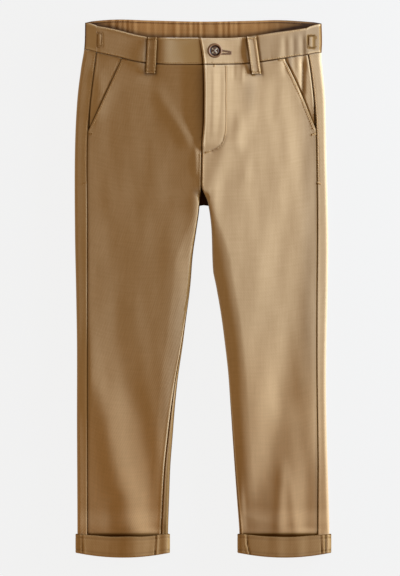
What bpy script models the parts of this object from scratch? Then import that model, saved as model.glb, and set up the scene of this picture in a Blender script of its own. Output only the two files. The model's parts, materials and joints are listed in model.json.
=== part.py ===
"""Chino trousers for a child of about five, laid flat on their back panels, with turned-up hems.

Metres, +Z up. The floor is z = 0, the waist points to +Y and the wearer's left leg is at +X. Sizes
are written in millimetres, and MM turns them to metres when a mesh is made. A place on the garment
is (x, down): across from the centre line, and down from the top of the back waistband.
"""

import math

import bmesh
import bpy

MM = 0.001

# Driving dimensions, millimetres.
LENGTH = 645.5  # top of the back waistband to the lowest point of the turn-ups
CLOTH_WALL = 1.2  # one layer of twill
BAND_WALL = 2.0  # waistband: two layers and interfacing
BAND_PROUD = 0.8  # the front waistband stands this far above the panels
SEAM_GAP = 0.3  # pieces that are sewn together stay this far apart
LAYER_STEP = CLOTH_WALL + SEAM_GAP  # from one layer's skin to the skin of the layer under it
FLY_LIFT = 3.2  # the overlap lies on the facing and on the other front
FLY_UNDERLAP = 5.0  # the right front goes on under the fly edge
FLY_END = 153.0  # down, lower end of the overlap
FLY_SETTLE = (22.0, 14.0)  # the overlap settles over these distances, across and down
FLY_FACING_WIDTH = 26.0
FLY_FACING_END = 4.0  # it ends this far above the overlap's end
FLY_FACING_CURVE = 16.0  # height of its rounded lower corner
FLY_FACING_TIP = 8.0  # width of its straight lower end
BAND_UNDERLAP = 27.0  # x of the end of the waistband's underlap, past the button
CUFF_WALL = 2.0  # the turn-up is folded double
CUFF_TOP = 617.0  # down, at the sides of a leg
CUFF_BOTTOM = 640.0
CUFF_BOW_TOP = 3.2  # both edges sag towards the middle of the leg
CUFF_BOW_BOTTOM = LENGTH - CUFF_BOTTOM
CUFF_LIP = 1.5  # the fold at the hem reaches in over the end of the leg
LEG_END = CUFF_BOTTOM - CUFF_WALL - SEAM_GAP
LOOP_WALL = 1.6
LOOP_WIDTH = 12.0
LOOP_TACK = 4.0  # sewn down this far at each end
LOOP_BOW = 2.2  # room for a belt
LOOP_RISE = 0.25  # share of the loop's length over which it rises from each tack
LOOP_STEP_DOWN = (1.0, 6.0)  # it comes down off the waistband between these distances below it
BUTTON_RADIUS = 8.9
BUTTON_AT = (13.7, 37.8)
BUTTON_FOOT = 6.8  # radius of the flat it lies on
BUTTON_SIDES = 28
HOLE_RADIUS = 0.85
HOLE_SPACING = 3.6
FALL_WIDTH = 24.0  # from the crest of a leg down to its rolled inner edge
FALL_ENDS = (0.1, 0.9)  # the part of a soft step that this fall takes
CENTRE_BACK = 0.7  # x of the seat seam
SEAT_WIDTH = 22.0  # a back's last columns lie within this distance of the seat seam
HEM_LIFT = (32.0, 6.0)  # a leg rises on to its turn-up between these distances above it

RIGHT, LEFT = -1, 1  # the wearer's sides, as the sign of x

# Outline of each half, from the centre line: (down, distance).
OUTER_EDGE = {
    RIGHT: (
        (4, 141.5), (37, 142.5), (61, 146.5), (97, 151.0), (157, 153.8), (253, 153.8),
        (337, 152.2), (391, 151.4), (481, 151.4), (613, 150.8), (646, 150.8),
    ),
    LEFT: (
        (4, 142.0), (31, 142.7), (49, 141.9), (61, 143.2), (97, 146.5), (157, 147.6),
        (253, 149.9), (319, 149.5), (391, 147.9), (445, 147.6), (499, 148.4), (553, 150.0),
        (613, 151.5), (646, 151.5),
    ),
}
INNER_EDGE = {
    RIGHT: (
        (218, 3.9), (234, 5.4), (253, 8.2), (283, 12.5), (319, 15.4), (355, 20.0),
        (391, 24.5), (427, 29.8), (463, 33.6), (499, 36.4), (535, 39.2), (571, 40.6),
        (606, 41.8), (615, 42.0), (646, 42.0),
    ),
    LEFT: (
        (218, 5.6), (234, 8.3), (253, 10.2), (301, 12.0), (319, 15.5), (355, 21.7),
        (391, 26.4), (427, 30.4), (463, 33.0), (499, 35.3), (535, 37.7), (571, 40.3),
        (606, 43.0), (615, 43.4), (646, 43.4),
    ),
}
# Side seam, and slanted pocket mouth until it meets that seam: (down, distance).
SIDE_SEAM = {
    RIGHT: ((36, 127.5), (109, 136.3), (157, 139.3), (646, 139.3)),
    LEFT: ((36, 124.5), (74, 132.5), (109, 137.2), (157, 137.6), (646, 136.7)),
}
POCKET_MOUTH = {
    RIGHT: ((46, 96.7), (109, 126.1), (134, 137.9)),
    LEFT: ((49, 99.5), (92, 117.5), (134, 137.4)),
}
MOUTH_GAPE = {RIGHT: 0.5, LEFT: 2.2}  # how far the middle of the mouth lifts off the facing
GAPE_WIDTH = 12.0
FACING_TUCK = 9.0  # a hip facing goes on this far under the front
FACING_BELOW = 10.0  # and this far below the mouth
FACING_STEP_WIDTH = 8.0  # it steps down under the front over this width
FACING_TAPER = 14.0  # narrower than this where it shows, it lies a whole layer lower
# Inseam, measured along the cloth from the leg's inner edge on to the front: (down, arc).
INSEAM = {
    RIGHT: ((320, 0.0), (378, 3.0), (480, 7.5), (580, 9.5), (646, 9.5)),
    LEFT: ((420, 0.0), (470, 2.5), (560, 4.0), (646, 5.0)),
}
# Height of the outer skin: (down, at the outer edge, at the crest, at the inner edge).
HEIGHTS = (
    (0, 9.0, 17.0, 9.0),
    (60, 8.0, 18.0, 9.0),
    (130, 7.0, 18.5, 9.0),
    (210, 7.0, 18.0, 9.0),
    (320, 7.0, 16.0, 8.5),
    (430, 7.0, 13.5, 8.5),
    (540, 7.4, 11.5, 8.2),
    (600, 8.0, 10.0, 8.0),
    (612, 8.0, 9.8, 8.0),
    (646, 8.0, 9.8, 8.0),
)
# Edges of the waistband: (x, down).
FRONT_BAND_TOP = (
    (-143, 4.5), (-133, 6.6), (-108, 11.4), (-68.5, 20.5), (-5, 22.2), (42, 21.0),
    (85, 15.0), (123.5, 9.0), (143, 5.4),
)
FRONT_BAND_SEAM = (
    (-143, 36.0), (-108, 43.8), (-68.5, 52.2), (-5, 54.0), (42, 53.4), (68, 51.0),
    (107, 45.0), (143, 40.0),
)
BACK_BAND_TOP = (
    (-143, 4.2), (-131, 1.9), (-102, 0.0), (-66, 1.1), (0, 2.5), (60, 1.5), (92, 0.8),
    (132, 3.2), (143, 5.0),
)
BACK_BAND_SEAM = ((-143, 36.0), (0, 35.4), (143, 40.0))
# Belt loops: x and down of the top end, x and down of the foot.
LOOP_PLACES = {RIGHT: (-61.1, 21.4, -63.1, 65.4), LEFT: (57.5, 20.6, 63.8, 66.1)}
# Centre front: x of the left front's free edge, then of the centre-front seam: (down, x).
CENTRE_FRONT = (
    (20, -4.5), (54, 0.5), (120, 1.1), (FLY_END, -1.3), (203, -2.3), (222, -2.3),
)
# Largest folds: x and down of the start, middle and end, half width, and height (troughs below 0).
FOLDS = (
    ((-124, 385), (-102, 481), (-75, 590), 17.0, 2.4),
    ((-94, 385), (-76, 439), (-54, 493), 15.0, -1.8),
    ((116, 385), (98, 463), (75, 600), 16.0, -2.2),
    ((96, 565), (97, 590), (98, 615), 6.5, 1.6),
    ((113, 577), (118, 595), (122, 614), 6.0, 1.4),
    ((14, 205), (42, 150), (70, 97), 13.0, 1.3),
    ((105, 26), (106, 40), (108, 62), 2.9, 0.9),
    ((116, 24), (117, 38), (119, 56), 2.9, 0.9),
    ((124, 24), (125, 38), (127, 54), 2.7, 0.8),
    ((119, 44), (119, 62), (118, 92), 3.6, -1.3),
)
FOLD_RUN_OUT = 0.25  # share of a fold's length over which each end dies away
FOLD_MARGIN = 14.0  # folds die away this near to a leg's rolled outer edge
GATHER_PITCH = 13.0  # elastic gathers of the back waistband
GATHER_HEIGHT = 1.1
GATHER_ENDS = (126.0, 104.0)  # distance from the centre at which the gathers end, and are full
GATHER_COLUMNS = 44  # points across each half of the gathered back

TOP_FADE = 80.0  # a panel's rows follow the waistband's seam, and are level this far below it

# Rows of the panels: (from, to, step), down the garment.
FRONT_ROWS = (
    (54.0, 140.0, 12.3), (140.0, 164.0, 4.8), (164.0, 190.0, 8.7), (190.0, 235.0, 5.0),
    (235.0, 585.0, 18.5), (585.0, LEG_END, 8.8),
)
BACK_ROWS = ((35.4, 205.0, 24.3), (205.0, 240.0, 5.0), (240.0, 585.0, 24.7), (585.0, LEG_END, 8.8))
SEAM_COLUMN = 0.5  # a column this close to a seam squares its cut edge to the cloth
EDGE_ARCS = (0.0, SEAM_COLUMN, 3.0, 6.0, 9.2)  # columns of a front round a leg's inner edge
EDGE_ARC = 12.5  # where its columns across the top begin
TOP_COLUMNS = 10  # points of a front across its top
ROLL_COLUMNS = 5  # points round a rolled edge
FACING_ROWS, FACING_COLUMNS = 10, 14
FLY_FACING_ROWS, FLY_FACING_COLUMNS = 9, 5
FRONT_BAND_ROWS, BACK_BAND_ROWS = 5, 3
LOOP_ROWS, LOOP_COLUMNS = 9, 3
# Columns of a front waistband as shares of its length, closer where the elastic gathers it.
BAND_COLUMNS = {RIGHT: ((0.0, 1.0, 0.07),), LEFT: ((0.0, 0.76, 0.08), (0.76, 1.0, 0.015))}
FRONT_SPLIT = (198.0, 222.0)  # down, over which the front parts into legs
BACK_SPLIT = (219.0, 229.0)
RING_ROLL, RING_TOP, RING_FLOOR = 6, 9, 4  # steps of a turn-up round a roll, over and under the leg

# Finishes: colour and roughness.
COTTON_TWILL = ((0.36, 0.22, 0.10), 0.85)
WAISTBAND_TWILL = ((0.30, 0.17, 0.07), 0.85)
BUTTON_RESIN = ((0.16, 0.10, 0.07), 0.35)


def ease(share):
    """0 to 1 with soft ends, for a share that may lie outside 0 to 1."""
    share = min(max(share, 0.0), 1.0)
    return share * share * (3.0 - 2.0 * share)


def mix(first, second, share):
    return first + (second - first) * share


def slope_at(rows, index, column):
    """Slope of a table's line at one of its rows."""
    low = rows[max(index - 1, 0)]
    high = rows[min(index + 1, len(rows) - 1)]
    return (high[column] - low[column]) / (high[0] - low[0])


def along(rows, at, column=1):
    """Value at a place in a table whose first column is the place, on a smooth line through its rows."""
    if at <= rows[0][0]:
        return rows[0][column]
    if at >= rows[-1][0]:
        return rows[-1][column]
    index = max(i for i, row in enumerate(rows) if row[0] <= at)
    low, high = rows[index], rows[index + 1]
    run = high[0] - low[0]
    t = (at - low[0]) / run
    start = slope_at(rows, index, column) * run
    end = slope_at(rows, index + 1, column) * run
    rise = high[column] - low[column]
    return low[column] + t * (start + t * (3 * rise - 2 * start - end + t * (start + end - 2 * rise)))


def stations(spans):
    """Places down the garment, evenly spaced in each (from, to, step) span."""
    places = [spans[0][0]]
    for start, end, step in spans:
        count = max(round((end - start) / step), 1)
        places += [mix(start, end, (i + 1) / count) for i in range(count)]
    return places


def floor_of(down):
    """The leg lifts off the floor where the turn-up lies under it."""
    return (CUFF_WALL + SEAM_GAP) * ease((down - CUFF_TOP + HEM_LIFT[0]) / (HEM_LIFT[0] - HEM_LIFT[1]))


def side_of(x):
    return LEFT if x >= 0 else RIGHT


def fold_height(x, down):
    """Sum of the folds at a place. Each fold is a soft ridge on a bent line, and dies away at its ends."""
    total = 0.0
    for start, middle, end, half_width, height in FOLDS:
        best, share = None, 0.0
        for part, (a, b) in enumerate(((start, middle), (middle, end))):
            run = (b[0] - a[0], b[1] - a[1])
            t = ((x - a[0]) * run[0] + (down - a[1]) * run[1]) / (run[0] ** 2 + run[1] ** 2)
            t = min(max(t, 0.0), 1.0)
            gap = math.hypot(x - a[0] - t * run[0], down - a[1] - t * run[1])
            if best is None or gap < best:
                best, share = gap, (part + t) / 2
        ends = ease(share / FOLD_RUN_OUT) * ease((1.0 - share) / FOLD_RUN_OUT)
        total += height * ends * math.exp(-((best / half_width) ** 2))
    return total


def top_height(x, down):
    """Height of the upper layer's skin, before what lifts it at the fly and the pockets."""
    side = side_of(x)
    across = abs(x)
    outer = along(OUTER_EDGE[side], down)
    inner = along(INNER_EDGE[side], down)
    edge, crest, inner_roll = (along(HEIGHTS, down, column) for column in (1, 2, 3))
    split = ease((down - FRONT_SPLIT[0]) / (FRONT_SPLIT[1] - FRONT_SPLIT[0]))
    crest_at = mix(0.0, inner + FALL_WIDTH, split)
    shoulder = outer - edge / 2
    slope = mix(edge, crest, min(max((shoulder - across) / (shoulder - crest_at), 0.0), 1.0))
    fall = ease(mix(*FALL_ENDS, (across - inner - inner_roll / 2) / FALL_WIDTH))
    leg = mix(inner_roll, slope, fall)
    fold = fold_height(x, down) * ease((shoulder - across) / FOLD_MARGIN)
    return floor_of(down) + mix(slope, leg, split) + fold


def fly_lift(x, down):
    """The left front and its waistband rise over the facing and the underlap, and settle beyond them."""
    across = 1.0 - ease((x - FLY_FACING_WIDTH) / FLY_SETTLE[0])
    return FLY_LIFT * across * (1.0 - ease((down - FLY_END) / FLY_SETTLE[1] + 0.4))


def outer_point(side, down, arc):
    """Skin point at an arc length from the outer edge, on to the top where it is positive."""
    outer = along(OUTER_EDGE[side], down)
    radius = along(HEIGHTS, down, 1) / 2
    quarter = radius * math.pi / 2
    if arc > quarter:
        x = side * (outer - radius - (arc - quarter))
        return x, top_height(x, down)
    if arc < -quarter:
        return side * (outer - radius + arc + quarter), floor_of(down)
    turn = arc / radius
    x = side * (outer - radius + radius * math.cos(turn))
    return x, floor_of(down) + radius + radius * math.sin(turn)


def inner_point(side, down, arc):
    """Skin point at an arc length from a leg's inner edge, on to the top where it is positive."""
    inner = along(INNER_EDGE[side], down)
    radius = along(HEIGHTS, down, 3) / 2
    quarter = radius * math.pi / 2
    if arc > quarter:
        x = side * (inner + radius + arc - quarter)
        return x, top_height(x, down)
    if arc < -quarter:
        return side * (inner + radius - arc - quarter), floor_of(down)
    turn = arc / radius
    x = side * (inner + radius - radius * math.cos(turn))
    return x, floor_of(down) + radius + radius * math.sin(turn)


def centre_edge(side, down):
    """x of a front's edge at the centre: the fly's free edge, the underlap below it, then the seam."""
    edge = along(CENTRE_FRONT, down)
    if side == LEFT:
        return edge
    under = 1.0 - ease((down - FLY_END + FLY_SETTLE[1]) / (FLY_SETTLE[1] / 2))
    return edge + mix(-SEAM_GAP, FLY_UNDERLAP, under)


def front_outer(side, down):
    """Distance of a front's outer edge: the pocket mouth, then the side seam."""
    seam = along(SIDE_SEAM[side], down) - SEAM_GAP / 2
    if down >= POCKET_MOUTH[side][-1][0]:
        return seam
    return min(seam, along(POCKET_MOUTH[side], down))


def gape(side, x, down):
    """Lift of a front beside its pocket mouth."""
    top, bottom = POCKET_MOUTH[side][0][0], POCKET_MOUTH[side][-1][0]
    if not top < down < bottom:
        return 0.0
    middle = math.sin(math.pi * (down - top) / (bottom - top))
    away = along(POCKET_MOUTH[side], down) - abs(x)
    return MOUTH_GAPE[side] * middle * math.exp(-((away / GAPE_WIDTH) ** 2))


def front_point(side, down, column):
    """Skin point of a front panel: the first columns go round the inner edge, the rest lie on the top."""
    split = ease((down - FRONT_SPLIT[0]) / (FRONT_SPLIT[1] - FRONT_SPLIT[0]))
    centre = centre_edge(side, down)
    if column < len(EDGE_ARCS):
        whole_x = centre + side * EDGE_ARCS[column]
        arc = along(INSEAM[side], down) + SEAM_GAP / 2 + EDGE_ARCS[column]
        leg_x, leg_z = inner_point(side, down, arc)
        x = mix(whole_x, leg_x, split)
        z = mix(top_height(whole_x, down), leg_z, split)
    else:
        share = (column - len(EDGE_ARCS)) / (TOP_COLUMNS - 1)
        start_leg = inner_point(side, down, along(INSEAM[side], down) + SEAM_GAP / 2 + EDGE_ARC)[0]
        start = mix(centre + side * EDGE_ARC, start_leg, split)
        x = mix(start, side * front_outer(side, down), share)
        z = top_height(x, down)
    if side == LEFT:
        z += fly_lift(x, down)
    return x, z + gape(side, x, down)


def front_rows(side):
    rows = []
    top = stations(FRONT_ROWS)[0]
    for station in stations(FRONT_ROWS):
        fade = 1.0 - ease((station - top) / TOP_FADE)
        row = []
        for column in range(len(EDGE_ARCS) + TOP_COLUMNS):
            down = station
            for _ in range(3):
                x, z = front_point(side, down, column)
                down = station + fade * (along(FRONT_BAND_SEAM, x) + SEAM_GAP - top)
            row.append((x, down, z))
        rows.append(row)
    return rows


def back_point(side, down, column):
    """Skin point of a back panel, from the side seam round the outer edge and over the floor."""
    split = ease((down - BACK_SPLIT[0]) / (BACK_SPLIT[1] - BACK_SPLIT[0]))
    radius = along(HEIGHTS, down, 1) / 2
    quarter = radius * math.pi / 2
    seam_arc = along(OUTER_EDGE[side], down) - radius - along(SIDE_SEAM[side], down) + quarter
    first = seam_arc - SEAM_GAP / 2
    if column < 2:
        return outer_point(side, down, mix(first, quarter, column / 2))
    column -= 2
    if column < ROLL_COLUMNS:
        return outer_point(side, down, mix(quarter, -quarter, column / (ROLL_COLUMNS - 1)))
    column -= ROLL_COLUMNS
    centre = CENTRE_BACK + side * SEAM_GAP / 2
    inner_radius = along(HEIGHTS, down, 3) / 2
    inner_quarter = inner_radius * math.pi / 2
    seat_start = side * SEAT_WIDTH
    flat_start = mix(seat_start, side * (along(INNER_EDGE[side], down) + inner_radius), split)
    outer_end = side * (along(OUTER_EDGE[side], down) - radius)
    if column < 2:
        return mix(outer_end, flat_start, (column + 1) / 3), floor_of(down)
    end_arc = along(INSEAM[side], down) - SEAM_GAP / 2
    near_seam = 1.0 - SEAM_COLUMN / (end_arc + inner_quarter)
    share = (0.0, 0.25, 0.5, 0.75, near_seam, 1.0)[column - 2]
    leg_x, leg_z = inner_point(side, down, mix(-inner_quarter, end_arc, share))
    return mix(mix(seat_start, centre, share), leg_x, split), mix(floor_of(down), leg_z, split)


def back_rows(side):
    rows = []
    top = stations(BACK_ROWS)[0]
    for station in stations(BACK_ROWS):
        fade = 1.0 - ease((station - top) / TOP_FADE)
        row = []
        for column in range(2 + ROLL_COLUMNS + 2 + 6):
            down = station
            for _ in range(3):
                x, z = back_point(side, down, column)
                seam = band_edge(FRONT_BAND_SEAM, BACK_BAND_SEAM, x, column)
                down = station + fade * (seam + SEAM_GAP - top)
            row.append((x, down, z))
        rows.append(row)
    return rows


def band_edge(front_table, back_table, x, column):
    """An edge of the waistband where it goes from the front, over the rolled side, to the back."""
    under = ease((column - 1) / (ROLL_COLUMNS - 1))
    return mix(along(front_table, x), along(back_table, x), under)


def facing_rows(side):
    """Hip pocket facing: level with the side seam, and one layer below the front at the mouth."""
    rows = []
    bottom = POCKET_MOUTH[side][-1][0]
    for step in range(FACING_ROWS):
        row = []
        for column in range(FACING_COLUMNS):
            x = side * 120.0
            for _ in range(3):
                top = along(FRONT_BAND_SEAM, x) + SEAM_GAP
                down = mix(top, bottom + FACING_BELOW, step / (FACING_ROWS - 1))
                seam = along(SIDE_SEAM[side], down) - SEAM_GAP
                mouth = min(along(POCKET_MOUTH[side], down), seam)
                tucked = 1.0 - ease((seam - mouth) / FACING_TAPER)
                seam -= tucked
                x = side * mix(mouth - FACING_TUCK, seam, column / (FACING_COLUMNS - 1))
            drop = LAYER_STEP * max(ease((seam - abs(x)) / FACING_STEP_WIDTH), tucked)
            row.append((x, down, top_height(x, down) - drop))
        rows.append(row)
    return rows


def fly_facing_rows():
    """The turned facing under the overlap's edge, with a curved lower end."""
    rows = []
    for step in range(FLY_FACING_ROWS):
        row = []
        for column in range(FLY_FACING_COLUMNS):
            x = FLY_FACING_WIDTH
            for _ in range(3):
                top = along(FRONT_BAND_SEAM, x) + SEAM_GAP
                bottom = FLY_END - FLY_FACING_END
                down = mix(top, bottom, step / (FLY_FACING_ROWS - 1))
                near = centre_edge(LEFT, down) + SEAM_GAP
                curve = max(down - bottom + FLY_FACING_CURVE, 0.0) / FLY_FACING_CURVE
                far = mix(near + FLY_FACING_TIP, FLY_FACING_WIDTH, math.sqrt(1.0 - curve * curve))
                x = mix(near, far, column / (FLY_FACING_COLUMNS - 1))
            row.append((x, down, top_height(x, down) + fly_lift(x, down) - LAYER_STEP))
        rows.append(row)
    return rows


def front_band_height(side, x, down):
    lift = fly_lift(x, down) if side == LEFT else 0.0
    return top_height(x, down) + BAND_PROUD + lift


def front_band_rows(side):
    """A front waistband: the right one runs on under the overlap, the left one ends at the fly edge."""
    rows = []
    for step in range(FRONT_BAND_ROWS):
        part = step / (FRONT_BAND_ROWS - 1)
        row = []
        for share in stations(BAND_COLUMNS[side]):
            x = side * 60.0
            for _ in range(3):
                down = mix(along(FRONT_BAND_TOP, x), along(FRONT_BAND_SEAM, x), part)
                seam = side * (along(SIDE_SEAM[side], down) - SEAM_GAP / 2)
                end = along(CENTRE_FRONT, down) if side == LEFT else BAND_UNDERLAP
                x = mix(end, seam, share)
            row.append((x, down, front_band_height(side, x, down)))
        rows.append(row)
    return rows


def gather(x):
    """Height of the back waistband's gathers: uneven waves that stand on the floor and end at the sides."""
    phase = 2 * math.pi * x / GATHER_PITCH
    uneven = 0.65 + 0.35 * math.sin(0.31 * phase + 0.8)
    wave = 0.5 - 0.5 * math.cos(phase + 0.9 * math.sin(0.23 * phase))
    end, full = GATHER_ENDS
    return GATHER_HEIGHT * uneven * wave * ease((end - abs(x)) / (end - full))


def back_band_half(side, share):
    """One half of a back waistband row, from the side seam to the centre back."""
    row = []
    for column in range(2 + ROLL_COLUMNS + GATHER_COLUMNS):
        down = 20.0
        for _ in range(3):
            radius = along(HEIGHTS, down, 1) / 2
            quarter = radius * math.pi / 2
            seam = along(SIDE_SEAM[side], down)
            first = along(OUTER_EDGE[side], down) - radius - seam + quarter - SEAM_GAP / 2
            if column < 2:
                x, z = outer_point(side, down, mix(first, quarter, column / 2))
                z += BAND_PROUD * (1.0 - column / 2)
            elif column < 2 + ROLL_COLUMNS:
                turn = (column - 2) / (ROLL_COLUMNS - 1)
                x, z = outer_point(side, down, mix(quarter, -quarter, turn))
            else:
                flat = (column - 1 - ROLL_COLUMNS) / GATHER_COLUMNS
                x = side * mix(along(OUTER_EDGE[side], down) - radius, 0.0, flat)
                z = gather(x)
            top = band_edge(FRONT_BAND_TOP, BACK_BAND_TOP, x, column)
            bottom = band_edge(FRONT_BAND_SEAM, BACK_BAND_SEAM, x, column)
            down = mix(top, bottom, share)
        row.append((x, down, z))
    return row


def back_band_rows():
    rows = []
    for step in range(BACK_BAND_ROWS):
        left = back_band_half(LEFT, step / (BACK_BAND_ROWS - 1))
        right = back_band_half(RIGHT, step / (BACK_BAND_ROWS - 1))
        rows.append(left + right[-2::-1])
    return rows


def loop_rows(side):
    """A belt loop: a folded strip, sewn down at both ends and bowed between them."""
    top_x, top_down, foot_x, foot_down = LOOP_PLACES[side]
    rows = []
    for step in range(LOOP_ROWS):
        share = step / (LOOP_ROWS - 1)
        down = mix(top_down, foot_down, share)
        centre = mix(top_x, foot_x, share)
        tacked = LOOP_TACK / (foot_down - top_down)
        bow = LOOP_BOW * ease((share - tacked) / LOOP_RISE) * ease((1.0 - tacked - share) / LOOP_RISE)
        row = []
        for column in range(LOOP_COLUMNS):
            x = centre + (column / (LOOP_COLUMNS - 1) - 0.5) * LOOP_WIDTH * side
            below = down - along(FRONT_BAND_SEAM, x)
            first, last = LOOP_STEP_DOWN
            on_band = 1.0 - ease((below - first) / (last - first))
            lift = fly_lift(x, down) if side == LEFT else 0.0
            ground = top_height(x, down) + BAND_PROUD * on_band + lift
            row.append((x, down, ground + SEAM_GAP + LOOP_WALL + bow))
        rows.append(row)
    return rows


def hem_ring(side, down):
    """Closed outline of a leg under its turn-up, with the unit normal at each point."""
    outer_quarter = along(HEIGHTS, down, 1) * math.pi / 4
    inner_quarter = along(HEIGHTS, down, 3) * math.pi / 4
    turns = [i / RING_ROLL for i in range(RING_ROLL + 1)]
    points = [outer_point(side, down, mix(-outer_quarter, outer_quarter, turn)) for turn in turns]
    start, end = points[-1][0], inner_point(side, down, inner_quarter)[0]
    for i in range(1, RING_TOP):
        x = mix(start, end, i / RING_TOP)
        points.append((x, top_height(x, down)))
    points += [inner_point(side, down, mix(inner_quarter, -inner_quarter, turn)) for turn in turns]
    start, end = points[-1][0], points[0][0]
    points += [(mix(start, end, i / RING_FLOOR), floor_of(down)) for i in range(1, RING_FLOOR)]
    normals = []
    for i, _ in enumerate(points):
        before, after = points[i - 1], points[(i + 1) % len(points)]
        run, rise = after[0] - before[0], after[1] - before[1]
        size = math.hypot(run, rise) * side
        normals.append((rise / size, -run / size))
    return points, normals


def cuff_profile():
    """Section of the turn-up's wall as (out from the leg, share down, further down)."""
    skin = SEAM_GAP + CUFF_WALL
    return (
        (SEAM_GAP, 0.0, 0.6),
        (SEAM_GAP + 0.7, 0.0, 0.0),
        (skin - 0.6, 0.0, 0.0),
        (skin, 0.0, 0.8),
        (skin, 1.0, -1.2),
        (skin - 0.9, 1.0, 0.0),
        (-CUFF_LIP + 0.8, 1.0, 0.0),
        (-CUFF_LIP, 1.0, -0.8),
        (-CUFF_LIP, 1.0, -CUFF_WALL),
        (SEAM_GAP, 1.0, -CUFF_WALL),
    )


def cuff_rows(side):
    """Rings of the turn-up, one for each point of its section."""
    points, normals = hem_ring(side, LEG_END)
    across = [x for x, _ in points]
    middle = (min(across) + max(across)) / 2
    half = (max(across) - min(across)) / 2
    rows = []
    for out, share, further in cuff_profile():
        row = []
        for (x, z), normal in zip(points, normals):
            sag = 1.0 - min(abs(x - middle) / half, 1.0) ** 2
            top = CUFF_TOP + CUFF_BOW_TOP * sag
            bottom = CUFF_BOTTOM + CUFF_BOW_BOTTOM * sag
            row.append((x + out * normal[0], mix(top, bottom, share) + further, z + out * normal[1]))
        rows.append(row)
    return rows


def material(name, finish):
    colour, roughness = finish
    made = bpy.data.materials.new(name)
    made.use_nodes = True
    shader = made.node_tree.nodes["Principled BSDF"]
    shader.inputs["Base Color"].default_value = (*colour, 1.0)
    shader.inputs["Roughness"].default_value = roughness
    shader.inputs["Metallic"].default_value = 0.0
    return made


def place(x, down, z):
    return x * MM, (LENGTH / 2 - down) * MM, z * MM


def loft(name, rows, finish, closed=False, flip=False):
    """Skin over rows of points. A closed loft joins its last column and its last row to the first."""
    mesh = bpy.data.meshes.new(name)
    shape = bmesh.new()
    grid = [[shape.verts.new(place(*point)) for point in row] for row in rows]
    height, width = len(grid), len(grid[0])
    for r in range(height if closed else height - 1):
        for c in range(width if closed else width - 1):
            below, beside = (r + 1) % height, (c + 1) % width
            corners = [grid[r][c], grid[below][c], grid[below][beside], grid[r][beside]]
            shape.faces.new(corners[::-1] if flip else corners)
    shape.to_mesh(mesh)
    shape.free()
    mesh.shade_smooth()
    mesh.materials.append(material(f"{name}_cloth", finish))
    made = bpy.data.objects.new(name, mesh)
    parts.objects.link(made)
    return made


def cloth(name, rows, wall, finish, flip=False):
    """A sheet of cloth whose outer skin is the loft and whose wall lies inside it."""
    made = loft(name, rows, finish, flip=flip)
    solid = made.modifiers.new("wall", "SOLIDIFY")
    solid.thickness = wall * MM
    solid.offset = -1.0
    solid.use_even_offset = True
    solid.thickness_clamp = 2.0
    return made


def turned(name, profile, finish):
    """A turned piece from its (radius, height) profile, which runs from the top centre out and down."""
    mesh = bpy.data.meshes.new(name)
    points = [(radius * MM, 0.0, height * MM) for radius, height in profile]
    mesh.from_pydata(points, [(i, i + 1) for i in range(len(points) - 1)], [])
    mesh.materials.append(material(f"{name}_resin", finish))
    made = bpy.data.objects.new(name, mesh)
    parts.objects.link(made)
    screw = made.modifiers.new("turn", "SCREW")
    screw.steps = screw.render_steps = BUTTON_SIDES
    screw.use_merge_vertices = True
    screw.merge_threshold = 0.0001
    return made


def button():
    """Four-hole button with a raised rim and a dished middle, tilted to lie on the waistband."""
    profile = (
        (0.0, 2.0), (4.4, 2.0), (5.2, 1.7), (5.8, 2.3), (6.6, 3.1), (7.6, 3.3),
        (8.5, 2.9), (BUTTON_RADIUS, 1.8), (8.4, 0.7), (BUTTON_FOOT, 0.0), (0.0, 0.0),
    )
    made = turned("waist_button", profile, BUTTON_RESIN)
    x, down = BUTTON_AT
    height = front_band_height(LEFT, x, down)
    left, right = (front_band_height(LEFT, x + reach, down) for reach in (-BUTTON_FOOT, BUTTON_FOOT))
    tilt = math.atan2(left - right, 2 * BUTTON_FOOT)
    made.rotation_euler = (0.0, tilt, 0.0)
    made.location = place(x, down, height + SEAM_GAP)
    for index in range(4):
        corner = ((index % 2) - 0.5, (index // 2) - 0.5)
        bpy.ops.mesh.primitive_cylinder_add(
            vertices=12,
            radius=HOLE_RADIUS * MM,
            depth=20 * MM,
            location=(corner[0] * HOLE_SPACING * MM, corner[1] * HOLE_SPACING * MM, 0.0),
        )
        hole = bpy.context.object
        hole.name = f"button_hole_{index + 1}"
        hole.parent = made
        hole.hide_render = True
        hole.display_type = "WIRE"
        for owner in list(hole.users_collection):
            owner.objects.unlink(hole)
        cutters.objects.link(hole)
        cut = made.modifiers.new(hole.name, "BOOLEAN")
        cut.operation = "DIFFERENCE"
        cut.object = hole
    return made


def collection(name):
    made = bpy.data.collections.new(name)
    bpy.context.scene.collection.children.link(made)
    return made


for old in list(bpy.data.objects):
    bpy.data.objects.remove(old, do_unlink=True)
parts = collection("chino_trousers")
cutters = collection("cutters")

for side, word in ((RIGHT, "right"), (LEFT, "left")):
    over = side == RIGHT
    cloth(f"front_{word}", front_rows(side), CLOTH_WALL, COTTON_TWILL, flip=over)
    cloth(f"back_{word}", back_rows(side), CLOTH_WALL, COTTON_TWILL, flip=over)
    cloth(f"pocket_facing_{word}", facing_rows(side), CLOTH_WALL, COTTON_TWILL, flip=over)
    cloth(f"waistband_front_{word}", front_band_rows(side), BAND_WALL, WAISTBAND_TWILL, flip=over)
    cloth(f"belt_loop_{word}", loop_rows(side), LOOP_WALL, COTTON_TWILL, flip=over)
    loft(f"cuff_{word}", cuff_rows(side), COTTON_TWILL, closed=True, flip=not over)
cloth("waistband_back", back_band_rows(), BAND_WALL, WAISTBAND_TWILL)
cloth("fly_facing", fly_facing_rows(), CLOTH_WALL, COTTON_TWILL)
button()
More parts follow.
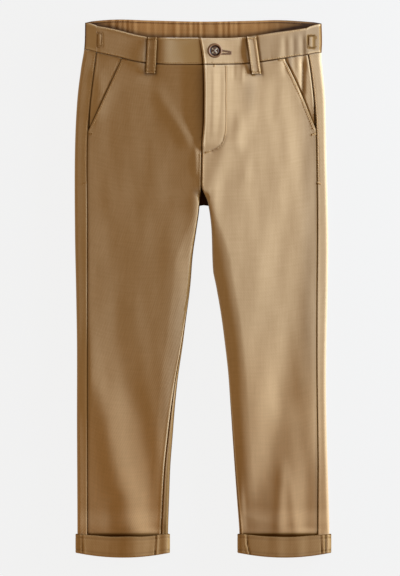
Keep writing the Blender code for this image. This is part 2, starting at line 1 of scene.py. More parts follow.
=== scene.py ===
# %% [markdown]
# # Chino trousers, laid flat
# This lesson dresses a pair of child's chinos that already has its construction: front and back
# panels, pocket facings, waistband, belt loops, turn-ups and a button. What is still missing is what
# the eye looks for in cloth: soft creases, rolled edges, seams that sink between their two panels,
# stitches, a button with depth, and a finish that looks like washed cotton. Each step below makes
# one of these, and each piece lies exactly where its plain solid lies.

# %% The fixed frame
import json
import math

import bpy
import numpy as np
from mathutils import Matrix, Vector

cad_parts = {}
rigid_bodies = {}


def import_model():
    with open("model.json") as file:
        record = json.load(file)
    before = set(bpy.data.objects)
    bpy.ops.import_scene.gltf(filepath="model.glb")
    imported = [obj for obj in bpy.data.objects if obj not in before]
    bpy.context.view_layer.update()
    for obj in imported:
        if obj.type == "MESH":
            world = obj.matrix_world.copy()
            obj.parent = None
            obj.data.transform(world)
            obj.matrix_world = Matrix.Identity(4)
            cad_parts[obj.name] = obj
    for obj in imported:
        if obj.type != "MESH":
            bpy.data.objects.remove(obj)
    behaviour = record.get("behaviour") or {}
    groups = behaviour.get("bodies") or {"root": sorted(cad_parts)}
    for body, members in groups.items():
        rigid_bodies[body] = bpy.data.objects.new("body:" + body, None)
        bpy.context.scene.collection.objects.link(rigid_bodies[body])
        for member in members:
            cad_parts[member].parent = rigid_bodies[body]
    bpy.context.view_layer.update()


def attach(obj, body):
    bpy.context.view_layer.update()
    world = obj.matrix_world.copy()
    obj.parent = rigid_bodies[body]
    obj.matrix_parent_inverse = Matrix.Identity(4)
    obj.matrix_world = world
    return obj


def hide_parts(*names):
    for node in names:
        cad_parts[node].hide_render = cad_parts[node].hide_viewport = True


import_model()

# %% [markdown]
# ## Sizes
# A garment is easiest to describe as a maker would chalk it on a table: how far across from the
# centre line, and how far down from the top of the back waistband. So every place below is
# (x, down) in millimetres, with the wearer's left leg at +x, and only `to_metres` turns it into
# Blender's space. First come the thicknesses of the layers, which all the heights rest on.

# %% Lengths and layers
MM = 0.001
RIGHT, LEFT = -1, 1  # the wearer's sides, as the sign of x
SIDES = ((RIGHT, "right"), (LEFT, "left"))
LENGTH = 645.5
CLOTH_WALL, BAND_WALL, LOOP_WALL, CUFF_WALL = 1.2, 2.0, 1.6, 2.0
SEAM_GAP = 0.3
LAYER_STEP = CLOTH_WALL + SEAM_GAP
BAND_PROUD = 0.8  # how far the waistband stands above the panels
FLY_END = 153.0
CUFF_TOP, CUFF_BOTTOM = 617.0, 640.0
LEG_END = CUFF_BOTTOM - CUFF_WALL - SEAM_GAP
FRONT_SPLIT, BACK_SPLIT = (198.0, 222.0), (223.0, 223.8)  # down, from the seat to two legs
print("two layers of cloth lie", LAYER_STEP, "mm apart")

# %% [markdown]
# The outline of a half is not the same on both sides, because the garment lies a little turned.
# The tables are short: a row for each place where the edge changes its course.

# %% Edges of the legs
# (down, distance from the centre line).
OUTER_EDGE = {
    RIGHT: (
        (4, 141.5), (37, 142.5), (61, 146.5), (97, 151.0), (157, 153.8), (253, 153.8),
        (337, 152.2), (391, 151.4), (481, 151.4), (613, 150.8), (646, 150.8),
    ),
    LEFT: (
        (4, 142.0), (31, 142.7), (49, 141.9), (61, 143.2), (97, 146.5), (157, 147.6),
        (253, 149.9), (319, 149.5), (391, 147.9), (445, 147.6), (499, 148.4), (553, 150.0),
        (613, 151.5), (646, 151.5),
    ),
}
INNER_EDGE = {
    RIGHT: (
        (218, 3.9), (234, 5.4), (253, 8.2), (283, 12.5), (319, 15.4), (355, 20.0),
        (391, 24.5), (427, 29.8), (463, 33.6), (499, 36.4), (535, 39.2), (571, 40.6),
        (606, 41.8), (615, 42.0), (646, 42.0),
    ),
    LEFT: (
        (218, 5.6), (234, 8.3), (253, 10.2), (301, 12.0), (319, 15.5), (355, 21.7),
        (391, 26.4), (427, 30.4), (463, 33.0), (499, 35.3), (535, 37.7), (571, 40.3),
        (606, 43.0), (615, 43.4), (646, 43.4),
    ),
}
print("waist", round(OUTER_EDGE[LEFT][0][1] + OUTER_EDGE[RIGHT][0][1]), "mm across the top")

# %% Seams of the legs
# (down, distance from the centre line).
SIDE_SEAM = {
    RIGHT: ((36, 127.5), (109, 136.3), (157, 139.0), (240, 138.7), (646, 138.7)),
    LEFT: (
        (36, 124.0), (49, 127.0), (85, 131.8), (121, 134.8), (169, 136.1), (253, 136.8),
        (337, 136.2), (433, 136.2), (529, 137.5), (577, 137.3), (646, 137.0),
    ),
}
POCKET_MOUTH = {
    RIGHT: ((46, 96.7), (109, 126.1), (134, 137.9)),
    LEFT: ((49, 98.2), (74, 110.6), (98, 121.3), (135, 136.2)),
}
# Inseam, measured along the cloth from the leg's inner edge on to the front: (down, arc).
INSEAM = {
    RIGHT: ((320, 0.5), (378, 4.5), (480, 10.0), (540, 11.6), (580, 12.0), (646, 11.6)),
    LEFT: ((420, 0.0), (470, 2.5), (560, 4.0), (646, 5.0)),
}
# Edge of the fly, then the centre-front seam: (down, x).
CENTRE_FRONT = ((20, -4.5), (54, 0.5), (120, 1.1), (FLY_END, -1.3), (203, -2.3), (222, -2.3))
print("pocket mouths end", POCKET_MOUTH[RIGHT][-1][0], "and", POCKET_MOUTH[LEFT][-1][0], "mm down")

# %% Heights of the legs
# Height of the outer skin: (down, at the outer edge, at the crest, at the inner edge).
HEIGHTS = {
    RIGHT: (
        (0, 9.0, 17.0, 17.0), (60, 8.0, 18.0, 17.8), (130, 7.0, 18.5, 17.8), (210, 7.0, 18.0, 17.8),
        (235, 7.0, 17.0, 16.9), (260, 7.0, 16.2, 16.0), (320, 7.0, 14.2, 13.5), (430, 7.0, 12.2, 11.7),
        (540, 7.4, 10.9, 10.0), (585, 7.4, 10.2, 9.2), (612, 6.8, 8.4, 7.9), (646, 6.8, 8.2, 7.9),
    ),
    LEFT: (
        (0, 9.0, 17.0, 17.0), (60, 8.0, 18.0, 17.8), (130, 7.0, 18.5, 17.8), (210, 7.0, 18.0, 18.0),
        (235, 7.0, 17.6, 17.4), (260, 7.0, 17.2, 16.5), (300, 7.0, 16.2, 14.2), (320, 7.0, 15.6, 13.2),
        (370, 7.0, 14.4, 11.6), (430, 7.0, 13.0, 10.2), (540, 7.4, 11.0, 8.8), (585, 7.4, 10.2, 8.2),
        (612, 6.8, 8.3, 7.4), (646, 6.8, 8.1, 7.4),
    ),
}
INNER_ROLL = ((222, 0.2), (250, 0.3), (310, 0.62), (646, 0.62))  # (down, inner roll's width to height)
print("a leg is", HEIGHTS[LEFT][2][2], "mm high at the hips and", HEIGHTS[LEFT][-1][2], "at the hem")

# %% Edges of the waistband
# (x, down).
FRONT_BAND_TOP = (
    (-143, 4.5), (-133, 6.6), (-108, 11.4), (-68.5, 20.5), (-5, 22.3), (42, 21.6),
    (85, 15.8), (123.5, 10.0), (143, 5.8),
)
FRONT_BAND_SEAM = (
    (-143, 36.0), (-108, 43.8), (-68.5, 52.2), (-5, 54.0), (42, 53.4), (68, 51.0),
    (107, 45.0), (143, 40.0),
)
BACK_BAND_TOP = (
    (-143, 4.2), (-131, 1.9), (-102, 0.0), (-66, 1.1), (0, 2.5), (60, 1.5), (92, 0.8),
    (132, 3.2), (143, 5.0),
)
BACK_BAND_SEAM = ((-143, 36.0), (0, 35.4), (143, 40.0))
print("waistband", round(FRONT_BAND_SEAM[3][1] - FRONT_BAND_TOP[4][1], 1), "mm deep beside the fly")

# %% [markdown]
# ## Soft shapes
# Nothing in cloth begins or ends sharply. Two small helpers give every soft change below: `ramp`
# rises between two places, and `bell` is a bump across a line. Where a size stands as a pair, it
# is the two places of a ramp, and a ramp whose places are the other way round falls.
# A maker's curve runs smoothly through its marks. `along` does the same with a cubic through a
# table's rows, for a whole array of places at once: NumPy works out all points of a panel in one
# go, which keeps a script with tens of thousands of points quick.

# %% Ramps, bells and smooth tables
def ease(share):
    """0 to 1 with soft ends, for a share that may lie outside 0 to 1."""
    share = np.clip(share, 0.0, 1.0)
    return share * share * (3.0 - 2.0 * share)


def mix(first, second, share):
    return first + (second - first) * share


def ramp(at, start, end):
    """0 at the start and 1 at the end, with soft ends."""
    return ease((at - start) / (end - start))


def bell(gap, half_width):
    """1 on a line, and soft towards 0 on both sides of it."""
    return np.exp(-((gap / half_width) ** 2))


def side_by_side(*parts):
    """One grid of points from the columns of several."""
    return np.concatenate(parts, axis=1)


def along(rows, at, column=1):
    """A table's column at each place, on a smooth line through its rows. Column 0 is the place."""
    table = np.array(rows, float)
    places, values = table[:, 0], table[:, column]
    order = np.arange(len(places))
    before, after = np.maximum(order - 1, 0), np.minimum(order + 1, len(places) - 1)
    slopes = (values[after] - values[before]) / (places[after] - places[before])
    at = np.clip(at, places[0], places[-1])
    low = np.clip(np.searchsorted(places, at, side="right") - 1, 0, len(places) - 2)
    run = places[low + 1] - places[low]
    t = (at - places[low]) / run
    start, end = slopes[low] * run, slopes[low + 1] * run
    rise = values[low + 1] - values[low]
    return values[low] + t * (start + t * (3 * rise - 2 * start - end + t * (start + end - 2 * rise)))


def both(tables, x, down, column=1):
    """A table that each side has its own, read on the side that x is on."""
    return np.where(x >= 0, along(tables[LEFT], down, column), along(tables[RIGHT], down, column))


print("between two rows of the waist:", round(float(along(FRONT_BAND_TOP, 20.0)), 2), "mm down")

# %% [markdown]
# ## Creases
# Cloth that was pressed, carried and laid down keeps long soft creases. On chinos they hang from
# where the cloth is held: the crotch, the pocket corners, the belt loops and the turn-ups. A crease
# could be sculpted or simulated, but here each one has a known course, so it is a line with a width
# and a height, and a soft bell across it. Negative heights are troughs. No two are alike.

# %% Courses of the creases
# (x, down) of the points of each course, half width, and height.
FOLDS = (
    (((-141, 345), (-131, 433), (-116, 481), (-107, 529), (-95, 577), (-80, 660), (-72, 780)), 17.0, 2.0),
    (((-108, 300), (-92, 433), (-76, 481), (-66, 529), (-61, 577), (-54, 660), (-46, 780)), 15.0, -1.5),
    (((106, 350), (95, 433), (90, 481), (79, 529), (73, 552), (61, 574), (53, 596), (49, 760)), 18.0, -1.85),
    (((104, 215), (99, 290), (97, 380), (101, 450), (104, 490)), 27.0, -1.0),
    (((119, 50), (119, 150), (117, 270)), 15.0, -0.4),
    (((97, 520), (93, 570), (90, 620), (88, 740)), 7.0, 0.9),
    (((102, 530), (107, 585), (114, 640), (124, 740)), 6.0, 0.45),
    (((44, 106), (42, 140), (44, 168)), 6.0, 0.32),
    (((57, 148), (54, 172), (50, 200)), 6.0, 0.3),
    (((123, 500), (123, 585), (124, 640), (126, 740)), 9.0, -0.7),
    (((4, 262), (5, 215), (27, 157), (44, 133), (66, 88)), 11.0, 0.9),
    (((98, 16), (98, 42), (99, 74)), 3.2, -0.45),
    (((108, 15), (108.5, 40), (110, 70)), 3.0, -0.4),
    (((119, 14), (119.5, 40), (121, 68)), 3.0, -0.55),
    (((119.5, 44), (119.5, 66), (119, 102)), 2.8, -0.95),
)
# Smaller ones. The seam allowances lie under the first two, and the third to fifth are the stripes
# of the fly over its facing.
CREASES = (
    (((131, 290), (131, 430), (130, 560)), 14.0, 0.7),
    (((-139, 140), (-139, 380), (-139, 620)), 12.0, 0.45),
    (((5.5, 48), (6.0, 100), (4.0, 156)), 2.6, 0.22),
    (((12.5, 48), (13.0, 96), (11.0, 150)), 2.8, 0.26),
    (((20.5, 50), (21.0, 100), (17.0, 152)), 2.4, -0.2),
    (((-64, 70), (-42, 108), (-25, 134), (-10, 162)), 9.0, 0.9),
    (((-46, 100), (-22, 137), (-9, 160), (-8, 196)), 7.5, 0.35),
    (((-10, 150), (-6, 190), (-14, 240)), 6.0, 0.3),
    (((-9.5, 146), (-8.5, 168), (-8.5, 192)), 3.4, 0.42),
    (((92, 60), (86, 92), (80, 130)), 8.0, -0.45),
    (((-112, 215), (-106, 300), (-104, 380)), 13.0, -0.4),
    (((-34, 250), (-40, 330), (-52, 400)), 12.0, 0.4),
    (((-104, 560), (-110, 590), (-112, 633)), 8.0, -0.4),
    (((49, 48), (48, 60), (46, 80)), 2.2, 0.3),
    (((38, 48), (37, 58), (37, 76)), 2.0, -0.25),
    (((28, 48), (29, 60), (29, 78)), 1.8, 0.2),
    (((46, 20), (45, 38), (44, 56)), 3.4, -0.22),
    (((92, 10), (93, 34), (90, 60)), 8.0, 0.4),
    (((-128, 50), (-123, 90), (-131, 128)), 9.0, 0.9),
    (((-128, 4), (-122, 30), (-122, 46)), 8.0, 0.35),
    (((-46, 12), (-48, 34), (-48, 60)), 9.0, 0.3),
)
# Waves of the leg's end inside its turn-up.
HEM_WAVES = (
    (((-84, 560), (-80, 720)), 22.0, 0.9),
    (((114, 560), (118, 720)), 30.0, 1.1),
)
print(len(FOLDS), "folds and", len(CREASES), "smaller creases")

# %% Height of the creases
CREASE_RUN_OUT = 0.25  # share of a course over which it rises or dies away


def course_distance(course, x, down):
    """Distance to a course of straight stretches, and how far along it each place lies, 0 to 1."""
    best = np.full(np.broadcast(x, down).shape, np.inf)
    share = np.zeros(best.shape)
    parts = len(course) - 1
    for part in range(parts):
        start, end = np.array(course[part], float), np.array(course[part + 1], float)
        run = end - start
        t = np.clip(((x - start[0]) * run[0] + (down - start[1]) * run[1]) / (run @ run), 0.0, 1.0)
        gap = np.hypot(x - start[0] - t * run[0], down - start[1] - t * run[1])
        share = np.where(gap < best, (part + t) / parts, share)
        best = np.minimum(best, gap)
    return best, share


def crease_height(table, x, down):
    total = np.zeros(np.broadcast(x, down).shape)
    for course, half_width, height in table:
        gap, share = course_distance(course, x, down)
        ends = ease(share / CREASE_RUN_OUT) * ease((1.0 - share) / CREASE_RUN_OUT)
        total += height * ends * bell(gap, half_width)
    return total


on_shin = crease_height(FOLDS, np.array(-107.0), np.array(529.0))
print("the long fold stands", round(float(on_shin), 2), "mm high over the shin")

# %% [markdown]
# Between the creases, cloth is never quite flat. A few dozen long, shallow waves, with lengths and
# directions drawn from a seeded generator, give that unevenness. They are longer down the leg than
# across it, because warp yarns are tighter than weft yarns, and they are highest on the left thigh.

# %% Unevenness of the cloth
WAVES_ACROSS, WAVES_DOWN = (12.0, 60.0), (90.0, 300.0)
WAVE_COUNT, WAVE_SLOPE = 26, 0.0005
WORN_MORE, WORN_ACROSS, WORN_DOWN = 0.7, (8.0, 33.0), (340.0, 250.0)
FULL_TURN = 2 * math.pi
waves = np.random.default_rng(4)
WAVES = [
    (
        FULL_TURN / across,
        FULL_TURN / waves.uniform(*WAVES_DOWN) * waves.choice((-1.0, 1.0)),
        waves.uniform(0.0, FULL_TURN),
        across * WAVE_SLOPE,
    )
    for across in waves.uniform(*WAVES_ACROSS, WAVE_COUNT)
]


def unevenness(x, down):
    total = np.zeros(np.broadcast(x, down).shape)
    for across, length, phase, height in WAVES:
        total += height * np.sin(across * x + length * down + phase)
    return total * (1.0 + WORN_MORE * ramp(x, *WORN_ACROSS) * ramp(down, *WORN_DOWN))


def puckers(place, pitch, seed):
    """Uneven small waves along a stitched line, -1 to 1."""
    draw = np.random.default_rng(seed)
    total = np.zeros(np.shape(place))
    shares = (0.62, 1.0, 1.45)
    for share in shares:
        total += np.sin(FULL_TURN * share * place / pitch + draw.uniform(0, FULL_TURN)) / len(shares)
    return total


sample = unevenness(np.linspace(-150, 150, 400), np.linspace(0, 640, 400))
print("unevenness of the cloth: up to", round(float(np.abs(sample).max()), 2), "mm")

# %% [markdown]
# ## Form of the upper layer
# `top_height` is the height of the upper skin anywhere on the garment. Everything that lies on a
# panel, such as a pocket facing, the waistband or a belt loop, takes its height from it, so the
# layers can't cut through each other whatever creases are added.

# %% Height of the upper layer
HEM_LIFT = (CUFF_TOP - 32.0, CUFF_TOP - 6.0)  # down, where the leg lifts on to its turn-up
FALL_WIDTH, FALL_POWER = {RIGHT: 16.0, LEFT: 18.0}, 2.6  # from a leg's crest to its inner roll
FALL_GROWS, FALL_LEAST = (215.0, 300.0), 0.12
FOLD_MARGIN, INNER_MARGIN = 14.0, 8.0  # no crease reaches the very edges
FOLD_HEM, HEM_SHARE = (608.0, 617.0), 0.5  # only a share of each fold goes on under the turn-ups


def floor_of(down):
    """The leg lifts off the floor where the turn-up lies under it."""
    return (CUFF_WALL + SEAM_GAP) * ramp(down, *HEM_LIFT)


def top_height(x, down):
    across = np.abs(x)
    outer, inner = both(OUTER_EDGE, x, down), both(INNER_EDGE, x, down)
    edge, crest, inner_roll = (both(HEIGHTS, x, down, column) for column in (1, 2, 3))
    split = ramp(down, *FRONT_SPLIT)
    fall_width = np.where(x >= 0, FALL_WIDTH[LEFT], FALL_WIDTH[RIGHT])
    fall_width = fall_width * mix(FALL_LEAST, 1.0, ramp(down, *FALL_GROWS))
    fall_begins = inner + along(INNER_ROLL, down) * inner_roll / 2
    crest_at = mix(0.0, fall_begins + fall_width, split)
    shoulder = outer - edge / 2
    slope = mix(edge, crest, np.clip((shoulder - across) / (shoulder - crest_at), 0.0, 1.0))
    fall = 1.0 - (1.0 - np.clip((across - fall_begins) / fall_width, 0.0, 1.0)) ** FALL_POWER
    leg = mix(inner_roll, slope, fall)
    soft = crease_height(FOLDS + CREASES, x, down) + unevenness(x, down)
    soft = soft * ease((shoulder - across) / FOLD_MARGIN)
    at_hem = ramp(down, *FOLD_HEM)
    soft = soft * mix(1.0, HEM_SHARE, at_hem) + at_hem * crease_height(HEM_WAVES, x, down)
    soft = soft * mix(1.0, ease((across - fall_begins) / INNER_MARGIN), split)
    return floor_of(down) + mix(slope, leg, split) + soft


print("crest at the hips:", round(float(top_height(np.array(0.0), np.array(130.0))), 1), "mm")

# %% [markdown]
# At the front opening the left half lies over the right one. Its edge is three layers thick, with
# the facing turned under, and it settles over the next finger's breadth. The right half gives way
# beside it, and the cloth in that hollow is never rubbed, so it keeps its dye.

# %% Lift and hollow of the fly
FLY_LIFT, FLY_LIFT_BAND, FLY_THICKENS = 3.2, 2.3, (52.0, 64.0)
FLY_SETTLES, FLY_QUICK_SHARE = (38.0, 75.0), 0.6  # it settles quickly and slowly over these widths
FLY_THINS, FLY_THIN_SHARE = (110.0, 146.0), 0.45
FLY_FADES = (FLY_END - 5.6, FLY_END + 8.4)
FLY_DIP, FLY_DIP_WIDTH, FLY_DIP_ON_BAND = 4.4, 15.0, -0.06
FLY_DIP_BEGINS, FLY_DIP_ENDS = (50.0, 70.0), (104.0, 146.0)
FLY_SHADES = ((0.9, 1.7), (0.22, 8.0))  # (tone, half width) of the hollow's dark line and its shade
FLY_SHADE_ENDS = (FLY_END - 8.0, FLY_END + 6.0)


def fly_lift(x, down):
    """The fly is three layers at its edge and settles to one, first quickly and then slowly."""
    quick, slow = (1.0 - ease(x / reach) for reach in FLY_SETTLES)
    ends = (1.0 - FLY_THIN_SHARE * ramp(down, *FLY_THINS)) * (1.0 - ramp(down, *FLY_FADES))
    return mix(FLY_LIFT_BAND, FLY_LIFT, ramp(down, *FLY_THICKENS)) * mix(slow, quick, FLY_QUICK_SHARE) * ends


def from_fly(x, down):
    """How far a place on the right half is from the edge of the fly."""
    return np.maximum(along(CENTRE_FRONT, down) - x, 0.0)


def fly_dip(x, down):
    """The right half sinks beside the edge of the fly, and stays low under it."""
    begins = mix(FLY_DIP_ON_BAND, 1.0, ramp(down, *FLY_DIP_BEGINS))
    ends = 1.0 - ramp(down, *FLY_DIP_ENDS)
    return FLY_DIP * bell(from_fly(x, down), FLY_DIP_WIDTH) * begins * ends


def half_lift(side, x, down):
    """What the fly adds to the height of either half."""
    return fly_lift(x, down) if side == LEFT else -fly_dip(x, down)


def fly_shade(x, down):
    """Tone of the right half beside the fly's edge, where the cloth is never rubbed."""
    deep = sum(tone * bell(from_fly(x, down), half_width) for tone, half_width in FLY_SHADES)
    return -deep * (1.0 - ramp(down, *FLY_SHADE_ENDS))


print("the fly's edge lies", round(float(fly_lift(np.array(0.0), np.array(80.0))), 1), "mm up")

# %% [markdown]
# A leg's edge is a roll: the cloth goes round a half circle from the floor to the top. Places on it
# are given by the arc, which is the way along the cloth from the very edge, upwards where it is
# positive. The inner edge is flatter than a circle, since it was pressed along the inseam.

# %% Rolled edges of the legs
RIM_POWER = 0.7


def rolled(side, edge, radius, arc, down, inwards, tight=1.0):
    """Skin point at an arc length from an edge of the leg, on to the top where it is positive."""
    quarter = radius * math.pi / 2
    turn = np.clip(arc, -quarter, quarter) / radius
    beyond = np.maximum(np.abs(arc) - quarter, 0.0)
    x = side * (edge + inwards * (tight * radius * (1.0 - np.cos(turn)) + beyond))
    z = floor_of(down) + radius + radius * np.sin(turn)
    return x, np.where(arc > quarter, top_height(x, down), z)


def outer_point(side, down, arc):
    return rolled(side, along(OUTER_EDGE[side], down), along(HEIGHTS[side], down, 1) / 2, arc, down, -1)


def inner_point(side, down, arc):
    radius = along(HEIGHTS[side], down, 3) / 2
    return rolled(side, along(INNER_EDGE[side], down), radius, arc, down, 1, along(INNER_ROLL, down))


def rim(height, arc):
    """1 on the very edge of the leg, and 0 where its roll comes to the top."""
    turn = np.clip(2.0 * arc / height, -math.pi / 2, math.pi / 2)
    return np.clip(np.cos(turn), 0.0, 1.0) ** RIM_POWER


edge_x, edge_z = outer_point(LEFT, np.array(400.0), np.array(0.0))
print("outer edge of the left knee:", round(float(edge_x), 1), "mm out and", round(float(edge_z), 1), "mm up")

# %% [markdown]
# ## Edges and seams
# The eye reads sewing by its edges. At a plain seam both panels roll down into the stitches over
# their last millimetre. A turned edge, such as a pocket mouth, is a fold of double cloth: it rolls
# over as well, and a low ridge runs behind it. Washing rubs the dye off such ridges and leaves it in
# the seams, so each edge also gives a tone: above 0 is rubbed lighter, below 0 is darker.

# %% Profiles of the edges
SEAM_ROLL, SEAM_DROP, SEAM_SHADE = 1.0, 0.75, 1.1
RIDGE_AT, RIDGE_WIDTH = 1.7, 1.1
STEPS_IN = np.array((0.0, 0.18, 0.45, 0.8, 1.3, 1.9, 2.6, 3.4))  # rows of points beside an edge


def edge_profile(distance, ridge=0.25, drop=SEAM_DROP, wear=0.5, dark=0.9):
    """Height and tone at a distance from an edge, for a ridge of that height behind it."""
    roll = np.clip(1.0 - distance / SEAM_ROLL, 0.0, 1.0) ** 2
    sunk = np.clip(1.0 - distance / SEAM_SHADE, 0.0, 1.0)
    raised = bell(distance - RIDGE_AT, RIDGE_WIDTH)
    return ridge * raised - drop * roll, wear * raised - dark * sunk


def spread(width, count):
    """Distances across a width, from 0: close together at both edges, even between them."""
    width = np.asarray(width, float)[..., None]
    middle = np.linspace(0.0, 1.0, count)[1:-1]
    inside = mix(STEPS_IN[-1], width - STEPS_IN[-1], middle)
    start = np.broadcast_to(STEPS_IN, (*width.shape[:-1], len(STEPS_IN)))
    return np.concatenate([start, inside, width - STEPS_IN[::-1]], axis=-1)


def spread_from(width, count):
    """Distances from an edge across a width: close together beside it, then even to the far end."""
    far = mix(STEPS_IN[-1], width, np.linspace(0.0, 1.0, count + 1)[1:])
    return side_by_side(np.broadcast_to(STEPS_IN, (len(width), len(STEPS_IN))), far)


print("a seam is", round(SEAM_GAP + 2 * SEAM_ROLL, 1), "mm wide from roll to roll")

# %% [markdown]
# No two seams are worn alike, and the two sides of a pair of trousers differ as much as any two
# seams do. These are the tones of this pair, for each side.

# %% Tones of the legs' edges
INNER_SHADE, INNER_SHADE_LEAST = {RIGHT: -1.0, LEFT: 0.0}, 0.5  # round the inner edge of a leg
OUTER_SHADE = {RIGHT: 0.0, LEFT: -0.4}
STRIP_TONE = {RIGHT: 0.08, LEFT: -0.09}  # the strip of the back between outer edge and side seam
FRONT_SEAM_DARK = {RIGHT: 0.7, LEFT: 0.85}
BACK_SEAM_DARK, BACK_SEAM_WEAR = {RIGHT: 0.75, LEFT: 0.9}, {RIGHT: 0.25, LEFT: 0.0}
BACK_INSEAM_DARK = {RIGHT: 0.2, LEFT: 0.9}
print("dark in the side seams:", FRONT_SEAM_DARK, "and", BACK_SEAM_DARK)

# %% [markdown]
# ## From points to cloth
# A panel is a grid of points that becomes a mesh, then Solidify gives it its wall inwards, as the
# cloth's own thickness. The grid also gives the mesh a UV map in metres along the cloth, so that the
# weave follows the panel round its bends, and a `tone` attribute for the wear. A grid suits a panel
# better than a simulation here: its seams have to meet the next panel's within a third of a
# millimetre.

# %% Grids of points
def to_metres(x, down, z):
    return np.stack([x * MM, (LENGTH / 2 - down) * MM, z * MM], axis=-1)


def make_active(thing):
    for other in bpy.context.selected_objects:
        other.select_set(False)
    thing.select_set(True)
    bpy.context.view_layer.objects.active = thing


def apply_modifiers(thing):
    make_active(thing)
    for modifier in list(thing.modifiers):
        bpy.ops.object.modifier_apply(modifier=modifier.name)


def new_object(name, mesh):
    made = bpy.data.objects.new(name, mesh)
    bpy.context.scene.collection.objects.link(made)
    return made


def along_cloth(points):
    """Width of each grid face along its row, and length along its column."""
    return (np.linalg.norm(np.diff(points, axis=axis), axis=-1) for axis in (1, 0))


def cloth_map(points):
    """Places of the grid's points on the flat cloth, in metres. Its middle column stays in place."""
    across, down = along_cloth(points)
    u = np.pad(np.cumsum(across, axis=1), ((0, 0), (1, 0)))
    v = np.pad(np.cumsum(down, axis=0), ((1, 0), (0, 0)))
    middle = points.shape[1] // 2
    u = u - u[:, middle:middle + 1] + points[:, middle:middle + 1, 0]
    return np.stack([u.reshape(-1), (LENGTH * MM - v).reshape(-1)], axis=-1)


def grid_piece(name, points, tone, flip=False, closed=False):
    """A mesh over a grid of points in metres, with its UV map and its tone."""
    height, width = points.shape[:2]
    index = np.arange(height * width).reshape(height, width)
    if closed:
        index = np.pad(index, ((0, 1), (0, 1)), mode="wrap")
    corners = np.stack([index[:-1, :-1], index[1:, :-1], index[1:, 1:], index[:-1, 1:]], axis=-1)
    corners = corners.reshape(-1, 4)
    if flip:
        corners = corners[:, ::-1]
    mesh = bpy.data.meshes.new(name)
    mesh.from_pydata(points.reshape(-1, 3).tolist(), [], corners.tolist())
    layer = mesh.uv_layers.new(name="cloth")
    loops = np.zeros(len(mesh.loops), np.int32)
    mesh.loops.foreach_get("vertex_index", loops)
    layer.data.foreach_set("uv", cloth_map(points)[loops].astype(np.float32).reshape(-1))
    mark = mesh.attributes.new("tone", "FLOAT", "POINT")
    tone = np.broadcast_to(tone, (height, width))
    mark.data.foreach_set("value", tone.astype(np.float32).reshape(-1))
    mesh.shade_smooth()
    return new_object(name, mesh)


hem = to_metres(np.array(0.0), np.array(LENGTH), np.array(0.0))
print("the hem lies at y =", round(float(hem[1]), 4), "m")

# %% [markdown]
# Each panel also says which plain solid it dresses, what it rests on, and the flat size that it was
# cut to, so that a simulation or a maker could start from the flat cloth again.


def dress(piece, finish, node):
    """Gives a piece its finish, lets it ride with the garment and stand for its plain solid."""
    piece.data.materials.append(finish)
    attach(piece, "root")
    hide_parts(node)


def cloth(node, skin, wall, finish, flip=False, inside=None, deep=None):
    """A panel of cloth: its skin, its wall inside the skin, and the size that it was cut to."""
    x, down, z, tone = skin
    points = to_metres(x, down, z)
    piece = grid_piece(f"{node}_cloth", points, tone, flip=flip)
    solid = piece.modifiers.new("wall", "SOLIDIFY")
    solid.thickness = wall * MM
    solid.offset = -1.0
    solid.use_even_offset = True
    solid.thickness_clamp = 1.5
    solid.material_offset = 1 if inside else 0
    dress(piece, finish, node)
    if inside:
        piece.data.materials.append(inside)
    apply_modifiers(piece)
    sink_seams(piece, deep or seam_twill)


def cloth_pair(kind, skin_of, wall, finish, deep=None):
    """The right and the left panel of a kind. A {} in what they rest on stands for right or left."""
    for side, word in SIDES:
        own_deep = deep if side == LEFT else None
        cloth(f"{kind}_{word}", skin_of(side), wall, finish, flip=side == RIGHT, deep=own_deep)


print("walls:", CLOTH_WALL, "mm of cloth,", BAND_WALL, "mm of waistband,", LOOP_WALL, "mm of belt loop")

# %% [markdown]
# ## Colours and nodes
# A colour picked from a swatch is an sRGB value, but Blender mixes light in linear values, so one
# function turns a hex code into them. Another small function adds a node with its settings and
# links, and gives its output, which keeps each material readable as a list of what it does.

# %% One colour function and one node function
def linear(code):
    """Linear colour of an sRGB hex code."""
    parts = [int(code[i:i + 2], 16) / 255 for i in (1, 3, 5)]
    return (*(p / 12.92 if p <= 0.04045 else ((p + 0.055) / 1.055) ** 2.4 for p in parts), 1.0)


def plug(tree, node, sockets):
    """Sets a node's sockets. Each of them takes a value, or an output to link to."""
    for key, value in sockets.items():
        if isinstance(value, bpy.types.NodeSocket):
            tree.links.new(value, node.inputs[key])
        else:
            node.inputs[key].default_value = value


def add(tree, kind, result, sockets=None, **settings):
    """Adds a node with its settings and its sockets, and gives its named output."""
    node = tree.nodes.new(kind)
    for key, value in settings.items():
        setattr(node, key, value)
    plug(tree, node, sockets or {})
    return node.outputs[result]


def new_material(name):
    made = bpy.data.materials.new(name)
    made.use_nodes = True
    return made, made.node_tree, made.node_tree.nodes["Principled BSDF"]


print("middle grey is", round(linear("#808080")[0], 3), "in linear light")

# %% [markdown]
# ## Cotton twill
# Chinos are a steep cotton twill, dyed as a finished garment and then washed and brushed. To the
# eye that means: a matt surface with a faint bloom of fibre ends towards the light, fine diagonal
# ribs, yarns that took the dye a little unevenly, lighter ridges and darker seams. The real ribs
# lie 0.7 mm apart, too fine for a view of the whole garment, so they are drawn at 1.9 mm. The UV map
# is in metres along the cloth, so a pattern's scale is simply 1 over its real size.

# %% Weave of the twill
RIB_PITCH, RIB_ANGLE = 1.9 * MM, math.radians(27)
YARN_PITCH, YARN_STRETCH = 2.4 * MM, 0.09  # thick and thin places are long along their yarn
DYE_SCALE = 24.0  # clouds of dye about 40 mm wide
WAVE_TURN = FULL_TURN / 20.0  # a wave texture makes one band over this length at scale 1


